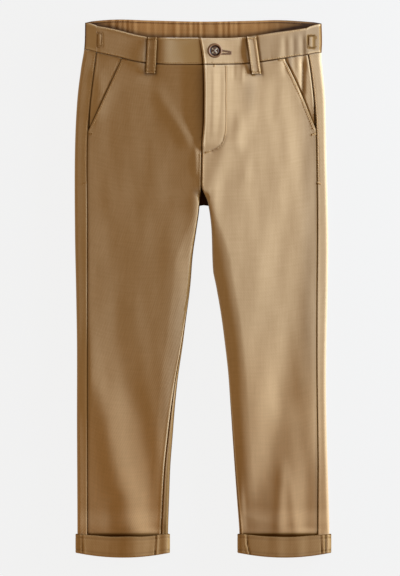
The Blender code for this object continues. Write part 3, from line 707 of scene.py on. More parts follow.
def twill_weave(tree, place):
    """Ribs at their angle, and the thick and thin places of both sets of yarns."""
    turned = {"Vector": place, "Rotation": (0.0, 0.0, RIB_ANGLE)}
    steep = add(tree, "ShaderNodeMapping", "Vector", turned)
    ribs = add(
        tree, "ShaderNodeTexWave", "Fac",
        {"Vector": steep, "Scale": WAVE_TURN / RIB_PITCH, "Distortion": 0.6, "Detail": 1.0,
         "Detail Scale": 1.2},
        wave_type="BANDS", bands_direction="X",
    )
    yarns = []
    for stretch in ((1.0, YARN_STRETCH, 1.0), (YARN_STRETCH, 1.0, 1.0)):
        drawn_out = add(tree, "ShaderNodeMapping", "Vector", {"Vector": place, "Scale": stretch})
        noise = {"Vector": drawn_out, "Scale": 1.0 / YARN_PITCH, "Detail": 2.0}
        yarns.append(add(tree, "ShaderNodeTexNoise", "Fac", noise))
    slubs = add(tree, "ShaderNodeMath", "Value", {0: yarns[0], 1: yarns[1]}, operation="ADD")
    return ribs, slubs


print("ribs every", round(RIB_PITCH / MM, 1), "mm, at", round(math.degrees(RIB_ANGLE)), "degrees")

# %% [markdown]
# The colour is built up as the garment was: dyed, then unevenly taken up, then rubbed pale on its
# ridges and left dark in its seams. The shins are worn less than the thighs, so they have kept more
# of their dye, and the colour goes over from one to the other along the leg.

# %% Colours of the twill
# (from, to, share): where a pattern begins to show, where it is full, and how much of the next
# colour it then brings. The first is the Y of the shins.
SHIN_KEEPS_DYE = (-40.0 * MM, -300.0 * MM, 1.0)
BLOTCH, STREAK = (0.3, 0.7, 0.12), (0.7, 1.3, 0.4)
DEEP_DYE = "#42260B"  # in the seams, where no washing reaches
RIB_DEPTH = 0.1 * MM


def layers_of_dye(tree, ground, layers):
    """One colour over another, each by its own share."""
    for share, code in layers:
        sockets = {"Factor": share, "A": ground, "B": linear(code)}
        ground = add(tree, "ShaderNodeMix", "Result", sockets, data_type="RGBA")
    return ground


def dyed_ground(tree, place, slubs, colour, dyed_dark, shins):
    """The dye, with more of it kept on the shins, and unevenly taken up."""
    at = add(tree, "ShaderNodeTexCoord", "Object")
    down_leg = add(tree, "ShaderNodeSeparateXYZ", "Y", {"Vector": at})
    clouds = {"Vector": place, "Scale": DYE_SCALE, "Detail": 4.0, "Roughness": 0.6}
    dye = add(tree, "ShaderNodeTexNoise", "Fac", clouds)
    kept, blotch, streak = (
        add(
            tree, "ShaderNodeMapRange", "Result",
            {"Value": value, "From Min": start, "From Max": end, "To Max": most},
        )
        for value, (start, end, most) in ((down_leg, SHIN_KEEPS_DYE), (dye, BLOTCH), (slubs, STREAK))
    )
    uneven = add(tree, "ShaderNodeMath", "Value", {0: blotch, 1: streak}, operation="ADD")
    return layers_of_dye(tree, linear(colour), ((kept, shins), (uneven, dyed_dark)))


def cotton_twill(name, colour, dyed_dark, rubbed, bloom=0.25, shins=None):
    """Washed cotton: matt, with a bloom of fibre ends, pale where rubbed and dark in the seams."""
    made, tree, shader = new_material(name)
    place = add(tree, "ShaderNodeUVMap", "UV", uv_map="cloth")
    ribs, slubs = twill_weave(tree, place)
    ground = dyed_ground(tree, place, slubs, colour, dyed_dark, shins or colour)
    tone = add(tree, "ShaderNodeAttribute", "Fac", attribute_name="tone")
    worn, sunk = (
        add(tree, "ShaderNodeMapRange", "Result", {"Value": tone, "From Min": 0.0, "From Max": full})
        for full in (1.0, -1.0)
    )
    cloth_colour = layers_of_dye(tree, ground, ((worn, rubbed), (sunk, DEEP_DYE)))
    relief = add(tree, "ShaderNodeMath", "Value", {0: slubs, 1: 1.0, 2: ribs}, operation="MULTIPLY_ADD")
    raised = {"Strength": 0.3, "Distance": RIB_DEPTH, "Height": relief}
    bump = add(tree, "ShaderNodeBump", "Normal", raised)
    sockets = {"Base Color": cloth_colour, "Normal": bump, "Roughness": 0.85, "Specular IOR Level": 0.0}
    plug(tree, shader, {**sockets, "Sheen Weight": bloom, "Sheen Roughness": 0.7})
    print(name, "takes its colours from", colour, dyed_dark, rubbed)
    return made


outer_twill = cotton_twill("brushed_cotton_twill", "#B18C60", "#9D7849", "#CEB38E", shins="#B78853")
band_twill = cotton_twill("interfaced_twill_waistband", "#B18C60", "#9D7849", "#CEB38E")
lining_twill = cotton_twill("gathered_twill_lining", "#BC874E", "#9C6C38", "#C6A06C", bloom=0.12)
seam_twill = cotton_twill("cotton_twill_deep_in_seams", "#AA8354", "#967042", "#CBAC80", bloom=0.0)
rim_twill = cotton_twill("cotton_twill_edge_to_light", "#A68B66", "#917650", "#CBAC80", bloom=0.0)
cuff_twill = cotton_twill("cotton_twill_turned_up", "#AC8354", "#98703C", "#CBAC80", bloom=0.12)

# %% [markdown]
# The bloom comes from fibres that stand up. Deep in a seam they are pressed flat and no light rakes
# over them, so the faces there get a finish without it.

# %% Finish deep in the seams
SUNK_TONE = -0.42


def sink_seams(piece, deep):
    """Gives the faces that lie deep in a seam their own finish."""
    mesh = piece.data
    mesh.materials.append(deep)
    tone = np.zeros(len(mesh.vertices), np.float32)
    mesh.attributes["tone"].data.foreach_get("value", tone)
    corners = np.zeros(len(mesh.loops), np.int32)
    mesh.loops.foreach_get("vertex_index", corners)
    finish = np.zeros(len(mesh.polygons), np.int32)
    mesh.polygons.foreach_get("material_index", finish)
    sunk = tone[corners].reshape(-1, 4).mean(axis=1) < SUNK_TONE
    finish[sunk & (finish == 0)] = len(mesh.materials) - 1
    mesh.polygons.foreach_set("material_index", finish)


print("a face is deep in a seam where its tone is under", SUNK_TONE)

# %% [markdown]
# ## Front panels
# A front is one piece from the waistband to the hem. Its inner edge is the fly, then the
# centre-front seam, then the inseam; its outer edge is the slanted pocket mouth, then the side seam.
# Columns of points run down these edges close together, and about 2 mm apart between them, which is
# fine enough for the smallest crease that shows.

# %% Edges of a front
FLY_UNDERLAP, FLY_ENDS_IN = 5.0, 14.0
MOUTH_GAPE, GAPE_WIDTH = {RIGHT: 0.5, LEFT: 0.3}, 12.0


def centre_edge(side, down):
    """x of a front's edge at the centre: the fly's free edge, the underlap below it, then the seam."""
    edge = along(CENTRE_FRONT, down)
    if side == LEFT:
        return edge
    under = 1.0 - ramp(down, FLY_END - FLY_ENDS_IN, FLY_END - FLY_ENDS_IN / 2)
    return edge + mix(-SEAM_GAP, FLY_UNDERLAP, under)


def front_outer(side, down):
    seam = along(SIDE_SEAM[side], down) - SEAM_GAP / 2
    mouth = np.minimum(seam, along(POCKET_MOUTH[side], down))
    return np.where(down >= POCKET_MOUTH[side][-1][0], seam, mouth)


def gape(side, x, down):
    """Lift of a front beside its pocket mouth."""
    top, bottom = POCKET_MOUTH[side][0][0], POCKET_MOUTH[side][-1][0]
    middle = np.sin(math.pi * np.clip((down - top) / (bottom - top), 0.0, 1.0))
    away = along(POCKET_MOUTH[side], down) - np.abs(x)
    return MOUTH_GAPE[side] * middle * bell(away, GAPE_WIDTH)


print("right front, at the fly's foot, from x =", round(float(centre_edge(RIGHT, np.array(FLY_END))), 1))

# %% Columns of a front
COLUMN_COUNT = 60
EDGE_ARCS = np.append(STEPS_IN, (4.4, 5.6, 7.0, 8.5, 10.0, 11.5, 13.0, 14.3))
EDGE_ARC = 15.5
ROLL_SPLIT, ROLL_BEGINS = (205.0, 229.0), 210.0  # down, where the inner roll of a leg begins
ROLL_SHADE, ROLL_SHADE_DOWN, ROLL_SHADE_ACROSS = 0.24, 5.0, 4.0
FRONT_COLUMN_COUNT = len(EDGE_ARCS) + COLUMN_COUNT + len(STEPS_IN) - 1
FAR_AWAY = 99.0


def inner_columns(side, down, split):
    """x, height and shade of the columns beside the inner edge, with their arcs from it."""
    start_arc = along(INSEAM[side], down) + SEAM_GAP / 2
    arcs = np.broadcast_to(EDGE_ARCS, down.shape)
    leg_x, leg_z = inner_point(side, down, start_arc + arcs)
    x = mix(centre_edge(side, down) + side * arcs, leg_x, split)
    apart = ramp(down, *ROLL_SPLIT)
    height = along(HEIGHTS[side], down, 3)
    on_roll = start_arc + arcs < height * math.pi / 4
    level = top_height(x, down)
    z = np.where(on_roll, mix(level, leg_z, apart), level)
    shade = INNER_SHADE[side] * rim(height, start_arc + arcs) * split
    if side == RIGHT:
        shade = shade - ROLL_SHADE * bell(down - ROLL_BEGINS, ROLL_SHADE_DOWN) * bell(arcs, ROLL_SHADE_ACROSS)
    return x, z, shade, arcs


def wide_columns(side, down, split):
    """x of the columns from there to the outer edge, how far in they lie, and the whole width."""
    start_arc = along(INSEAM[side], down) + SEAM_GAP / 2
    on_leg = inner_point(side, down, start_arc + EDGE_ARC)[0]
    start = mix(centre_edge(side, down) + side * EDGE_ARC, on_leg, split)
    width = np.abs(side * front_outer(side, down) - start)
    even = np.linspace(0.0, 1.0, COLUMN_COUNT) * (width[:, :COLUMN_COUNT] - STEPS_IN[-1])
    close = width[:, COLUMN_COUNT:] - STEPS_IN[-2::-1]
    step = side_by_side(even, close)
    return start + side * step, step, width


def front_columns(side, down):
    """x, height, distances from the inner and the outer edge, and shade, for a front's rows."""
    split = ramp(down, *FRONT_SPLIT)
    count = len(EDGE_ARCS)
    x_near, z_near, shade, arcs = inner_columns(side, down[:, :count], split[:, :count])
    x_far, step, width = wide_columns(side, down[:, count:], split[:, count:])
    x = side_by_side(x_near, x_far)
    z = side_by_side(z_near, top_height(x_far, down[:, count:]))
    from_inner = side_by_side(arcs, EDGE_ARC + step)
    from_outer = side_by_side(np.full(arcs.shape, FAR_AWAY), width - step)
    shade = side_by_side(shade, np.zeros(step.shape))
    return x, z, from_inner, from_outer, shade


print("a front has", FRONT_COLUMN_COUNT, "columns of points")

# %% [markdown]
# What lies on a panel or under it keeps it from being rubbed, and so leaves a soft darker shade.
# Each shade is placed by hand: its tone, its place, and how far it reaches.

# %% Shades of the fronts
UNDER_LOOP = (-0.2, (56.0, 8.0), (84.0, 22.0))  # tone, then place and reach across and down
BESIDE_SEAM = (-0.22, (128.0, 10.0), (50.0, 74.0), (380.0, 480.0))  # it begins and ends over these
BESIDE_INSEAM = (-0.2, (7.0, 11.0), (290.0, 360.0), (470.0, 520.0))


def left_shade(x, down):
    """Tone below the belt loop, and over the pocket and the seam allowance of the left side seam."""
    loop, (loop_x, loop_reach), (loop_down, loop_length) = UNDER_LOOP
    seam, (seam_x, seam_reach), begins, ends = BESIDE_SEAM
    below_loop = loop * bell(x - loop_x, loop_reach) * bell(down - loop_down, loop_length)
    beside_seam = bell(x - seam_x, seam_reach) * ramp(down, *begins) * (1.0 - ramp(down, *ends))
    return below_loop + seam * beside_seam


def right_shade(x, down):
    """Tone beside the fly, and where the right front falls to the inner edge of its leg."""
    tone, (inwards, reach), begins, ends = BESIDE_INSEAM
    away = -x - along(INNER_EDGE[RIGHT], down) - inwards
    return fly_shade(x, down) + tone * bell(away, reach) * ramp(down, *begins) * (1.0 - ramp(down, *ends))


print("shade under the belt loop:", round(float(left_shade(np.array(56.0), np.array(84.0))), 2))

# %% Skin of a front
ROW_STEP, TOP_ROWS, LAST_ROW = 2.2, 5.0, 1.0
TOP_FADE = 80.0  # over this length the rows go over from the slant of the waist to level
MOUTH_PUCKER, MOUTH_PUCKER_PITCH, MOUTH_PUCKER_IN, MOUTH_PUCKER_WIDTH = 0.14, 7.0, 4.0, 3.5
ON_LEG = (FRONT_SPLIT[1], FRONT_SPLIT[1] + 20.0)


def front_edges(side, down, from_inner, from_outer):
    """Height and tone that the edges of a front add to it."""
    free = (down < POCKET_MOUTH[side][-1][0]) * 1.0
    mouth_height, mouth_tone = edge_profile(from_outer, ridge=0.08, drop=0.3, wear=0.1, dark=0.6)
    seam_height, seam_tone = edge_profile(
        from_outer, ridge=0.0, drop=0.2, wear=-0.22, dark=FRONT_SEAM_DARK[side]
    )
    beside_mouth = free * bell(from_outer - MOUTH_PUCKER_IN, MOUTH_PUCKER_WIDTH)
    drawn = MOUTH_PUCKER * puckers(down, MOUTH_PUCKER_PITCH, 3 + side) * beside_mouth
    on_fly = down < FLY_END
    on_leg = ramp(down, *ON_LEG)
    inner_height, inner_tone = edge_profile(
        from_inner, ridge=np.where(on_fly, 0.3, mix(0.08, 0.25, on_leg)),
        wear=np.where(on_fly, 0.25, mix(-0.2, 0.6, on_leg)), dark=np.where(on_fly, 0.1, 0.75),
    )
    height = mix(seam_height, mouth_height, free) + drawn + inner_height
    return height, mix(seam_tone, mouth_tone, free) + inner_tone


def front_skin(side):
    top = FRONT_BAND_SEAM[3][1]
    even = np.arange(top + TOP_ROWS, LEG_END - LAST_ROW, ROW_STEP)
    stations = np.concatenate([top + STEPS_IN, even, [LEG_END]])[:, None]
    down = np.broadcast_to(stations, (len(stations), FRONT_COLUMN_COUNT))
    fade = 1.0 - ease((stations - top) / TOP_FADE)
    for _ in range(3):
        x, z, from_inner, from_outer, shade = front_columns(side, down)
        down = stations + fade * (along(FRONT_BAND_SEAM, x) + SEAM_GAP - top)
    edge_height, edge_tone = front_edges(side, down, from_inner, from_outer)
    top_change, top_tone = edge_profile(stations - top, ridge=0.15, drop=0.6, wear=0.15)
    z = z + half_lift(side, x, down) + gape(side, x, down) + edge_height + top_change
    own_shade = right_shade if side == RIGHT else left_shade
    return x, down, z, edge_tone + top_tone + shade + own_shade(x, down)


print("rows of a front:", ROW_STEP, "mm apart")

# %% [markdown]
# ## Sewn lines in the panels
# A row of stitches pulls the cloth down into a shallow channel. The course of each row is kept in
# one table: it presses the channel into the panel here, and its threads are sewn along it later.

# %% Courses of the stitched rows
FLY_ROW = (
    (27.6, 55.5), (27.9, 90.0), (27.7, 126.0), (26.6, 139.0), (23.2, 149.0), (16.8, 155.2), (8.3, 158.6),
)
MOUTH_ROW_IN, MOUTH_ROW_POINTS = 2.6, 8
SIDE_ROW_OUT, SIDE_ROW_END = 2.1, 197.4
ROW_ENDS_IN = 0.02  # share of a row over which its channel begins and ends
CHANNEL_DARK = 0.4


def way_along(points):
    """How far along a course each of its points lies."""
    return np.append(0.0, np.cumsum(np.linalg.norm(np.diff(points, axis=0), axis=1)))


def smooth_course(points, step):
    """Points about `step` apart on a smooth line through a course."""
    points = np.array(points, float)
    place = way_along(points)
    count = max(int(round(place[-1] / step)), 1)
    at = np.linspace(0.0, place[-1], count + 1)
    columns = [along(np.stack([place, points[:, axis]], axis=1), at) for axis in (0, 1)]
    return np.stack(columns, axis=1)


def mouth_row(side):
    top = along(FRONT_BAND_SEAM, side * 90.0) + 2.0
    down = np.linspace(top, POCKET_MOUTH[side][-1][0] - 3.0, MOUTH_ROW_POINTS)
    return np.stack([side * (along(POCKET_MOUTH[side], down) - MOUTH_ROW_IN), down], axis=1)


def side_row(side, down):
    return np.stack([side * (along(SIDE_SEAM[side], down) + SIDE_ROW_OUT), down], axis=1)


def channel(course, x, down, depth=0.2, half_width=1.1):
    """Height and tone of the channel that a stitched row presses into the cloth."""
    gap, share = course_distance(course, x, down)
    ends = ease(share / ROW_ENDS_IN) * ease((1.0 - share) / ROW_ENDS_IN)
    pressed = depth * bell(gap, half_width) * ends
    return -pressed, -CHANNEL_DARK * pressed


print("the fly's row ends", FLY_ROW[-1][1], "mm down")

# %% [markdown]
# A belt loop is sewn down hard at both ends. It presses the cloth under it flat and draws it in
# along its sides. A turn-up keeps the light off the leg just above it, and the shin keeps its dye.

# %% Marks of the belt loops and the turn-ups
LOOP_WIDTH = 12.0
LOOP_PLACES = {RIGHT: (-61.1, 21.4, -63.1, 65.4), LEFT: (57.5, 20.6, 63.8, 66.1)}  # top and foot
LOOP_BESIDE, LOOP_DRAWN, LOOP_DRAWN_WIDTH, LOOP_SHADE_WIDTH = 0.4, 0.5, 1.3, 3.6
LOOP_DIP, LOOP_DIP_WIDTH, LOOP_DIP_ABOVE = 1.0, 12.0, 30.0
CUFF_BOW_TOP = 3.2
CUFF_EDGE_AT, CUFF_EDGE_SHADE, CUFF_SHADE_TONE, CUFF_SHADE_LENGTH = 0.6, 2.4, 0.12, 45.0
CUFF_CLEAR = {RIGHT: (-73.0, -95.0), LEFT: (98.0, 84.0)}  # x over which the longer shade begins
SHIN_TONE, SHIN_BEGINS = {RIGHT: 0.0, LEFT: -0.14}, (430.0, 560.0)
FLY_FOOT_DEPTH, FLY_FOOT_WIDTH, FLY_FOOT_DARK = 0.3, 1.3, 3.0  # the fly's curve is pulled in most


def beside_loop(side, x, down):
    """The cloth is drawn in along both sides of a belt loop and under its foot."""
    top_x, top_down, foot_x, foot_down = LOOP_PLACES[side]
    half = LOOP_WIDTH / 2 + LOOP_BESIDE
    corners = (
        (top_x - half, top_down), (foot_x - half, foot_down),
        (foot_x + half, foot_down), (top_x + half, top_down),
    )
    gap, _ = course_distance(corners, x, down)
    drawn = bell(gap, LOOP_DRAWN_WIDTH)
    return -LOOP_DRAWN * drawn, -0.42 * drawn - 0.16 * bell(gap, LOOP_SHADE_WIDTH)


def loop_dip(side, x, down):
    """The cloth gives way under a belt loop that is pressed down on it."""
    top_x, top_down, foot_x, foot_down = LOOP_PLACES[side]
    gap, _ = course_distance(((top_x, top_down - LOOP_DIP_ABOVE), (foot_x, foot_down)), x, down)
    return LOOP_DIP * bell(gap, LOOP_DIP_WIDTH)


def above_cuff(side, x, down):
    """Tone of the leg just above its turn-up, and of its shin."""
    away = np.maximum(CUFF_TOP + CUFF_EDGE_AT * CUFF_BOW_TOP - down, 0.0)
    clear = CUFF_SHADE_TONE * ramp(x, *CUFF_CLEAR[side])
    shade = bell(away, CUFF_EDGE_SHADE) + clear * bell(away, CUFF_SHADE_LENGTH)
    return SHIN_TONE[side] * ramp(down, *SHIN_BEGINS) - shade


def sewn_front(side):
    """A front's skin with its stitched channels and the marks of what lies on it."""
    x, down, z, tone = front_skin(side)
    tone = tone + above_cuff(side, x, down)
    rows = [(mouth_row(side), 0.12, 1.1, 1.0)]
    if side == LEFT:
        fly_row = smooth_course(FLY_ROW, 4.0)
        foot = fly_row[len(fly_row) * 3 // 4:]
        rows += [(fly_row, 0.2, 1.1, 1.0), (foot, FLY_FOOT_DEPTH, FLY_FOOT_WIDTH, FLY_FOOT_DARK)]
    for course, depth, half_width, darker in rows:
        change, shade = channel(course, x, down, depth, half_width)
        z, tone = z + change, tone + darker * shade
    drawn, shade = beside_loop(side, x, down)
    return x, down, z + drawn - loop_dip(side, x, down), tone + shade


cloth_pair("front", sewn_front, CLOTH_WALL, outer_twill)

# %% [markdown]
# ## Back panels
# A back is wider than its front. It starts at the side seam, rolls over the outer edge of the leg,
# lies flat on the floor, and comes up round the inner edge to the inseam. Only its two rolled strips
# show from above, and its flat part is what the garment rests on, so the points are close together
# at the strips and wide apart on the floor.

# %% Strips and floor of a back
ROLL_COUNT, FLOOR_COUNT, STRIP_COUNT, INSEAM_COUNT = 14, 26, 4, 12
CENTRE_BACK, SEAT_WIDTH = 0.7, 22.0


def push_out(x, z, side, turn, amount, inwards):
    """Moves skin points out along the normal of a rolled edge."""
    turn = np.clip(turn, -math.pi / 2, math.pi / 2)
    return x - side * inwards * amount * np.cos(turn), z + amount * np.sin(turn)


def round_outer_edge(side, down, gap, count):
    """From the side seam to the floor: x, height, arcs, distances from the seam; the floor's start."""
    radius = along(HEIGHTS[side], down, 1) / 2
    quarter = radius * math.pi / 2
    floor_begins = along(OUTER_EDGE[side], down) - radius
    first = floor_begins - along(SIDE_SEAM[side], down) + quarter - gap
    from_seam = spread_from(first - quarter, count)
    arcs = side_by_side(first - from_seam, quarter * np.linspace(1.0, -1.0, ROLL_COUNT)[1:])
    return *outer_point(side, down, arcs), arcs, from_seam, floor_begins


def inner_strip(side, down, split):
    """x, height and tone from the floor round the inner edge to the inseam; above it, of the seat."""
    radius = along(HEIGHTS[side], down, 3) / 2
    end_arc = along(INSEAM[side], down) - SEAM_GAP / 2
    total = end_arc + radius * math.pi / 2
    from_inseam = spread_from(total, INSEAM_COUNT)[:, ::-1][:, 1:]
    arc = end_arc - from_inseam
    change, tone = edge_profile(from_inseam, ridge=0.2, wear=0.25, dark=BACK_INSEAM_DARK[side])
    tone = tone + INNER_SHADE[side] * np.maximum(rim(2.0 * radius, arc), INNER_SHADE_LEAST)
    x, z = push_out(*inner_point(side, down, arc), side, arc / radius, change, 1)
    seat = mix(side * SEAT_WIDTH, CENTRE_BACK, 1.0 - from_inseam / total)
    floor = np.broadcast_to(floor_of(down), z.shape)
    return mix(seat, x, split), mix(floor, z, split), mix(-1.0, tone, split)


def back_columns(side, down):
    split = ramp(down, *BACK_SPLIT)
    x_out, z_out, arcs, from_seam, floor_begins = round_outer_edge(side, down, SEAM_GAP / 2, STRIP_COUNT)
    change, worn = edge_profile(
        from_seam, ridge=0.1, drop=0.5, wear=BACK_SEAM_WEAR[side], dark=BACK_SEAM_DARK[side]
    )
    z_out[:, :from_seam.shape[1]] += change
    tone_out = OUTER_SHADE[side] * rim(along(HEIGHTS[side], down, 1), arcs)
    tone_out[:, :from_seam.shape[1]] += worn + STRIP_TONE[side]
    floor_ends = along(INNER_EDGE[side], down) + along(INNER_ROLL, down) * along(HEIGHTS[side], down, 3) / 2
    floor_ends = mix(SEAT_WIDTH, floor_ends, split)
    floor_x = side * mix(floor_begins, floor_ends, np.linspace(0.0, 1.0, FLOOR_COUNT)[1:])
    floor_z = np.broadcast_to(floor_of(down), floor_x.shape)
    x_in, z_in, tone_in = inner_strip(side, down, split)
    tone = side_by_side(tone_out, np.zeros(floor_x.shape), tone_in)
    return side_by_side(x_out, floor_x, x_in), side_by_side(z_out, floor_z, z_in), tone


print("a back rolls over in", ROLL_COUNT - 1, "steps")

# %% Skin of a back
BACK_ROW_STEP = 2.6
BACK_SEAM_GAP = 0.05
SIDE_ROW_MARKS = (38.0, 75.0, 109.0, 157.0, SIDE_ROW_END)


def back_skin(side):
    top = BACK_BAND_SEAM[1][1]
    stations = np.append(np.arange(top, LEG_END - LAST_ROW, BACK_ROW_STEP), (*BACK_SPLIT, LEG_END))
    stations = np.sort(stations)[:, None]
    fade = 1.0 - ease((stations - top) / TOP_FADE)
    strip = len(STEPS_IN) + STRIP_COUNT
    down = stations
    for _ in range(3):
        x, z, tone = back_columns(side, down[:, :1])
        under = ease(np.arange(x.shape[1]) / (strip + ROLL_COUNT))
        seam = mix(along(FRONT_BAND_SEAM, x), along(BACK_BAND_SEAM, x), under)
        down = stations + fade * (seam + BACK_SEAM_GAP - top)
    change, shade = channel(side_row(side, np.array(SIDE_ROW_MARKS)), x, down)
    on_strip = np.arange(x.shape[1]) < strip
    return x, down, z + change * on_strip, tone + shade * on_strip


cloth_pair("back", back_skin, CLOTH_WALL, outer_twill, deep=rim_twill)

# %% [markdown]
# ## Pocket facings and fly facing
# Where a front is cut away for the hand, the facing of the pocket shows. It is level with the side
# seam and dips one layer under the front at the mouth. The fly facing is the strip that the front's
# free edge is turned back on to, and it shows only as a second edge beside it.

# %% Pocket facings
FACING_ROW_COUNT, FACING_COLUMN_COUNT = 46, 22
FACING_TUCK, FACING_BELOW, FACING_STEP_WIDTH, FACING_TAPER = 9.0, 10.0, 2.4, 14.0
MOUTH_SHADE, MOUTH_SHADE_WIDTH = 0.8, 1.4  # of the facing, under the edge of the mouth
FACING_CREASE = (0.5, (119.6, 1.7), (42.0, 62.0), (98.0, 106.0))  # dark, place and reach, begins, ends
UNDER_BAND = (0.4, (104.5, 3.5), (66.0, 56.0))  # where the left mouth meets the band


def facing_shade(side, x, down):
    """Tone of a facing: the shade of the mouth, a crease, and the shade of the band."""
    mouth_gap = along(POCKET_MOUTH[side], down) - np.abs(x)
    shade = MOUTH_SHADE * ease((mouth_gap + MOUTH_SHADE_WIDTH) / MOUTH_SHADE_WIDTH)
    dark, place, begins, ends = FACING_CREASE
    shade = shade + dark * bell(x - place[0], place[1]) * ramp(down, *begins) * (1.0 - ramp(down, *ends))
    dark, place, ends = UNDER_BAND
    return -shade - dark * bell(x - place[0], place[1]) * ramp(down, *ends)


def facing_skin(side):
    bottom = POCKET_MOUTH[side][-1][0]
    steps = np.linspace(0.0, 1.0, FACING_ROW_COUNT)[:, None]
    x = np.full((FACING_ROW_COUNT, 1), side * 120.0)
    for _ in range(4):
        top = along(FRONT_BAND_SEAM, x) + SEAM_GAP
        down = mix(top, bottom + FACING_BELOW, steps)
        seam = along(SIDE_SEAM[side], down) - SEAM_GAP
        mouth = np.minimum(along(POCKET_MOUTH[side], down), seam)
        tucked = 1.0 - ease((seam - mouth) / FACING_TAPER)
        seam = seam - tucked
        if x.shape[1] == 1:
            from_seam = spread_from(seam - mouth + FACING_TUCK, FACING_COLUMN_COUNT)[:, ::-1]
        x = side * (seam - from_seam)
    beyond = np.abs(x) - along(POCKET_MOUTH[side], down)
    drop = LAYER_STEP * np.maximum(1.0 - ease(beyond / FACING_STEP_WIDTH), tucked)
    change, tone = edge_profile(from_seam, ridge=0.1, wear=0.1)
    return x, down, top_height(x, down) - drop + change, tone + facing_shade(side, x, down)


cloth_pair("pocket_facing", facing_skin, CLOTH_WALL, outer_twill)

# %% Fly facing
FLY_FACING_GRID = (44, 14)  # rows and columns of points
FLY_FACING_WIDTH, FLY_FACING_END, FLY_FACING_CURVE, FLY_FACING_TIP = 26.0, 4.0, 16.0, 8.0


def fly_facing_skin():
    rows, columns = FLY_FACING_GRID
    steps = np.linspace(0.0, 1.0, rows)[:, None]
    across = np.linspace(0.0, 1.0, columns)
    x = np.full(FLY_FACING_GRID, FLY_FACING_WIDTH)
    bottom = FLY_END - FLY_FACING_END
    for _ in range(4):
        down = mix(along(FRONT_BAND_SEAM, x) + SEAM_GAP, bottom, steps)
        near = centre_edge(LEFT, down) + SEAM_GAP
        curve = np.maximum(down - bottom + FLY_FACING_CURVE, 0.0) / FLY_FACING_CURVE
        far = mix(near + FLY_FACING_TIP, FLY_FACING_WIDTH, np.sqrt(1.0 - np.minimum(curve, 1.0) ** 2))
        x = mix(near, far, across)
    return x, down, top_height(x, down) + fly_lift(x, down) - LAYER_STEP, np.zeros(x.shape)


cloth("fly_facing", fly_facing_skin(), CLOTH_WALL, outer_twill)

# %% [markdown]
# ## Waistband
# The front waistband is two layers and a stiffener, so it stands a little above the panels and its
# edges are rounder. Its left half crosses over the right one and holds the buttonhole. Small
# rectangles of stitches tack the ends of the elastic that gathers the back.

# %% Tacks of the waistband
# (x from, x to, down from, down to).
TACKS = {RIGHT: (-126.8, -121.0, 16.4, 32.8), LEFT: (125.6, 133.6, 19.8, 34.2)}
TACK_SWELL, TACK_SWELL_WIDTH = 0.18, 2.5
TACK_DEPTH, TACK_WIDTH = 0.35, 0.9


def front_band_height(side, x, down):
    return top_height(x, down) + BAND_PROUD + half_lift(side, x, down) - loop_dip(side, x, down)


def tack_course(side):
    x0, x1, d0, d1 = TACKS[side]
    return ((x0, d0), (x1, d0), (x1, d1), (x0, d1), (x0, d0))


def tack_relief(side, x, down):
    """A stitched rectangle: a channel all round, and a pad that swells inside it."""
    x0, x1, d0, d1 = TACKS[side]
    gap, _ = course_distance(tack_course(side), x, down)
    inside = (x > x0) & (x < x1) & (down > d0) & (down < d1)
    pad = ease(gap / TACK_SWELL_WIDTH) * inside
    pressed = bell(gap, TACK_WIDTH)
    return TACK_SWELL * pad - TACK_DEPTH * pressed, 0.04 * pad - 0.6 * pressed


print("tacks of the right and the left half:", TACKS)

# %% Skins of the front waistband
BAND_ROWS, BAND_COLUMNS, BAND_DEPTH, BAND_SEAM_GAP = 16, 96, 33.0, 0.03
BAND_UNDERLAP = 27.0
BAND_PUCKER, BAND_PUCKER_PITCH, BAND_PUCKER_UP, BAND_PUCKER_WIDTH = 0.1, 6.5, 2.5, 3.0
# (tone, x from, x to) of what was rubbed most, and of what was kept from it.
BAND_SHADES = {
    RIGHT: ((0.95, (-52.0, -38.0), (-1.0, -7.0)),),
    LEFT: ((-0.16, (66.0, 72.0), None), (-0.18, (98.0, 112.0), None)),
}


def band_shade(side, x, down):
    total = fly_shade(x, down) if side == RIGHT else np.zeros(x.shape)
    for tone, begins, ends in BAND_SHADES[side]:
        total = total + tone * ramp(x, *begins) * (ramp(x, *ends) if ends else 1.0)
    return total


def front_band_skin(side):
    x = np.full((1, 1), side * 60.0)
    from_top = spread(np.array([BAND_DEPTH]), BAND_ROWS)[0][:, None] / BAND_DEPTH
    for _ in range(5):
        top, seam_line = along(FRONT_BAND_TOP, x), along(FRONT_BAND_SEAM, x)
        down = mix(top, seam_line, from_top)
        end = along(CENTRE_FRONT, down) if side == LEFT else np.full(down.shape, BAND_UNDERLAP)
        seam = side * (along(SIDE_SEAM[side], down) - BAND_SEAM_GAP)
        from_end = spread(np.abs(seam - end)[:, 0], BAND_COLUMNS)
        x = end[:, :1] + side * from_end
    height = seam_line - top
    above, tone_top = edge_profile(from_top * height, ridge=0.25, drop=0.7, wear=0.5)
    below, tone_below = edge_profile((1.0 - from_top) * height, ridge=0.1, drop=0.8, wear=0.1)
    near, tone_near = edge_profile(from_end, ridge=0.3, drop=0.5, wear=0.5, dark=0.1)
    relief, tone_tack = tack_relief(side, x, down)
    up = (1.0 - from_top) * height - BAND_PUCKER_UP
    drawn_up = BAND_PUCKER * puckers(x, BAND_PUCKER_PITCH, 9) * bell(up, BAND_PUCKER_WIDTH)
    drawn, tone_drawn = beside_loop(side, x, down)
    z = front_band_height(side, x, down) + above + below + near + relief + drawn_up + drawn
    tone = tone_top + tone_below + tone_near + tone_tack + tone_drawn
    return x, down, z, tone + band_shade(side, x, down)


cloth_pair("waistband_front", front_band_skin, BAND_WALL, band_twill)

# %% [markdown]
# The back waistband holds elastic. Sewn flat while the elastic was stretched, its cloth drew up into
# gathers when it was let go. They stand across the band, unevenly spaced, and end at the tacks. What
# shows is the inside of the band, which is why its wall is turned up towards the viewer here.

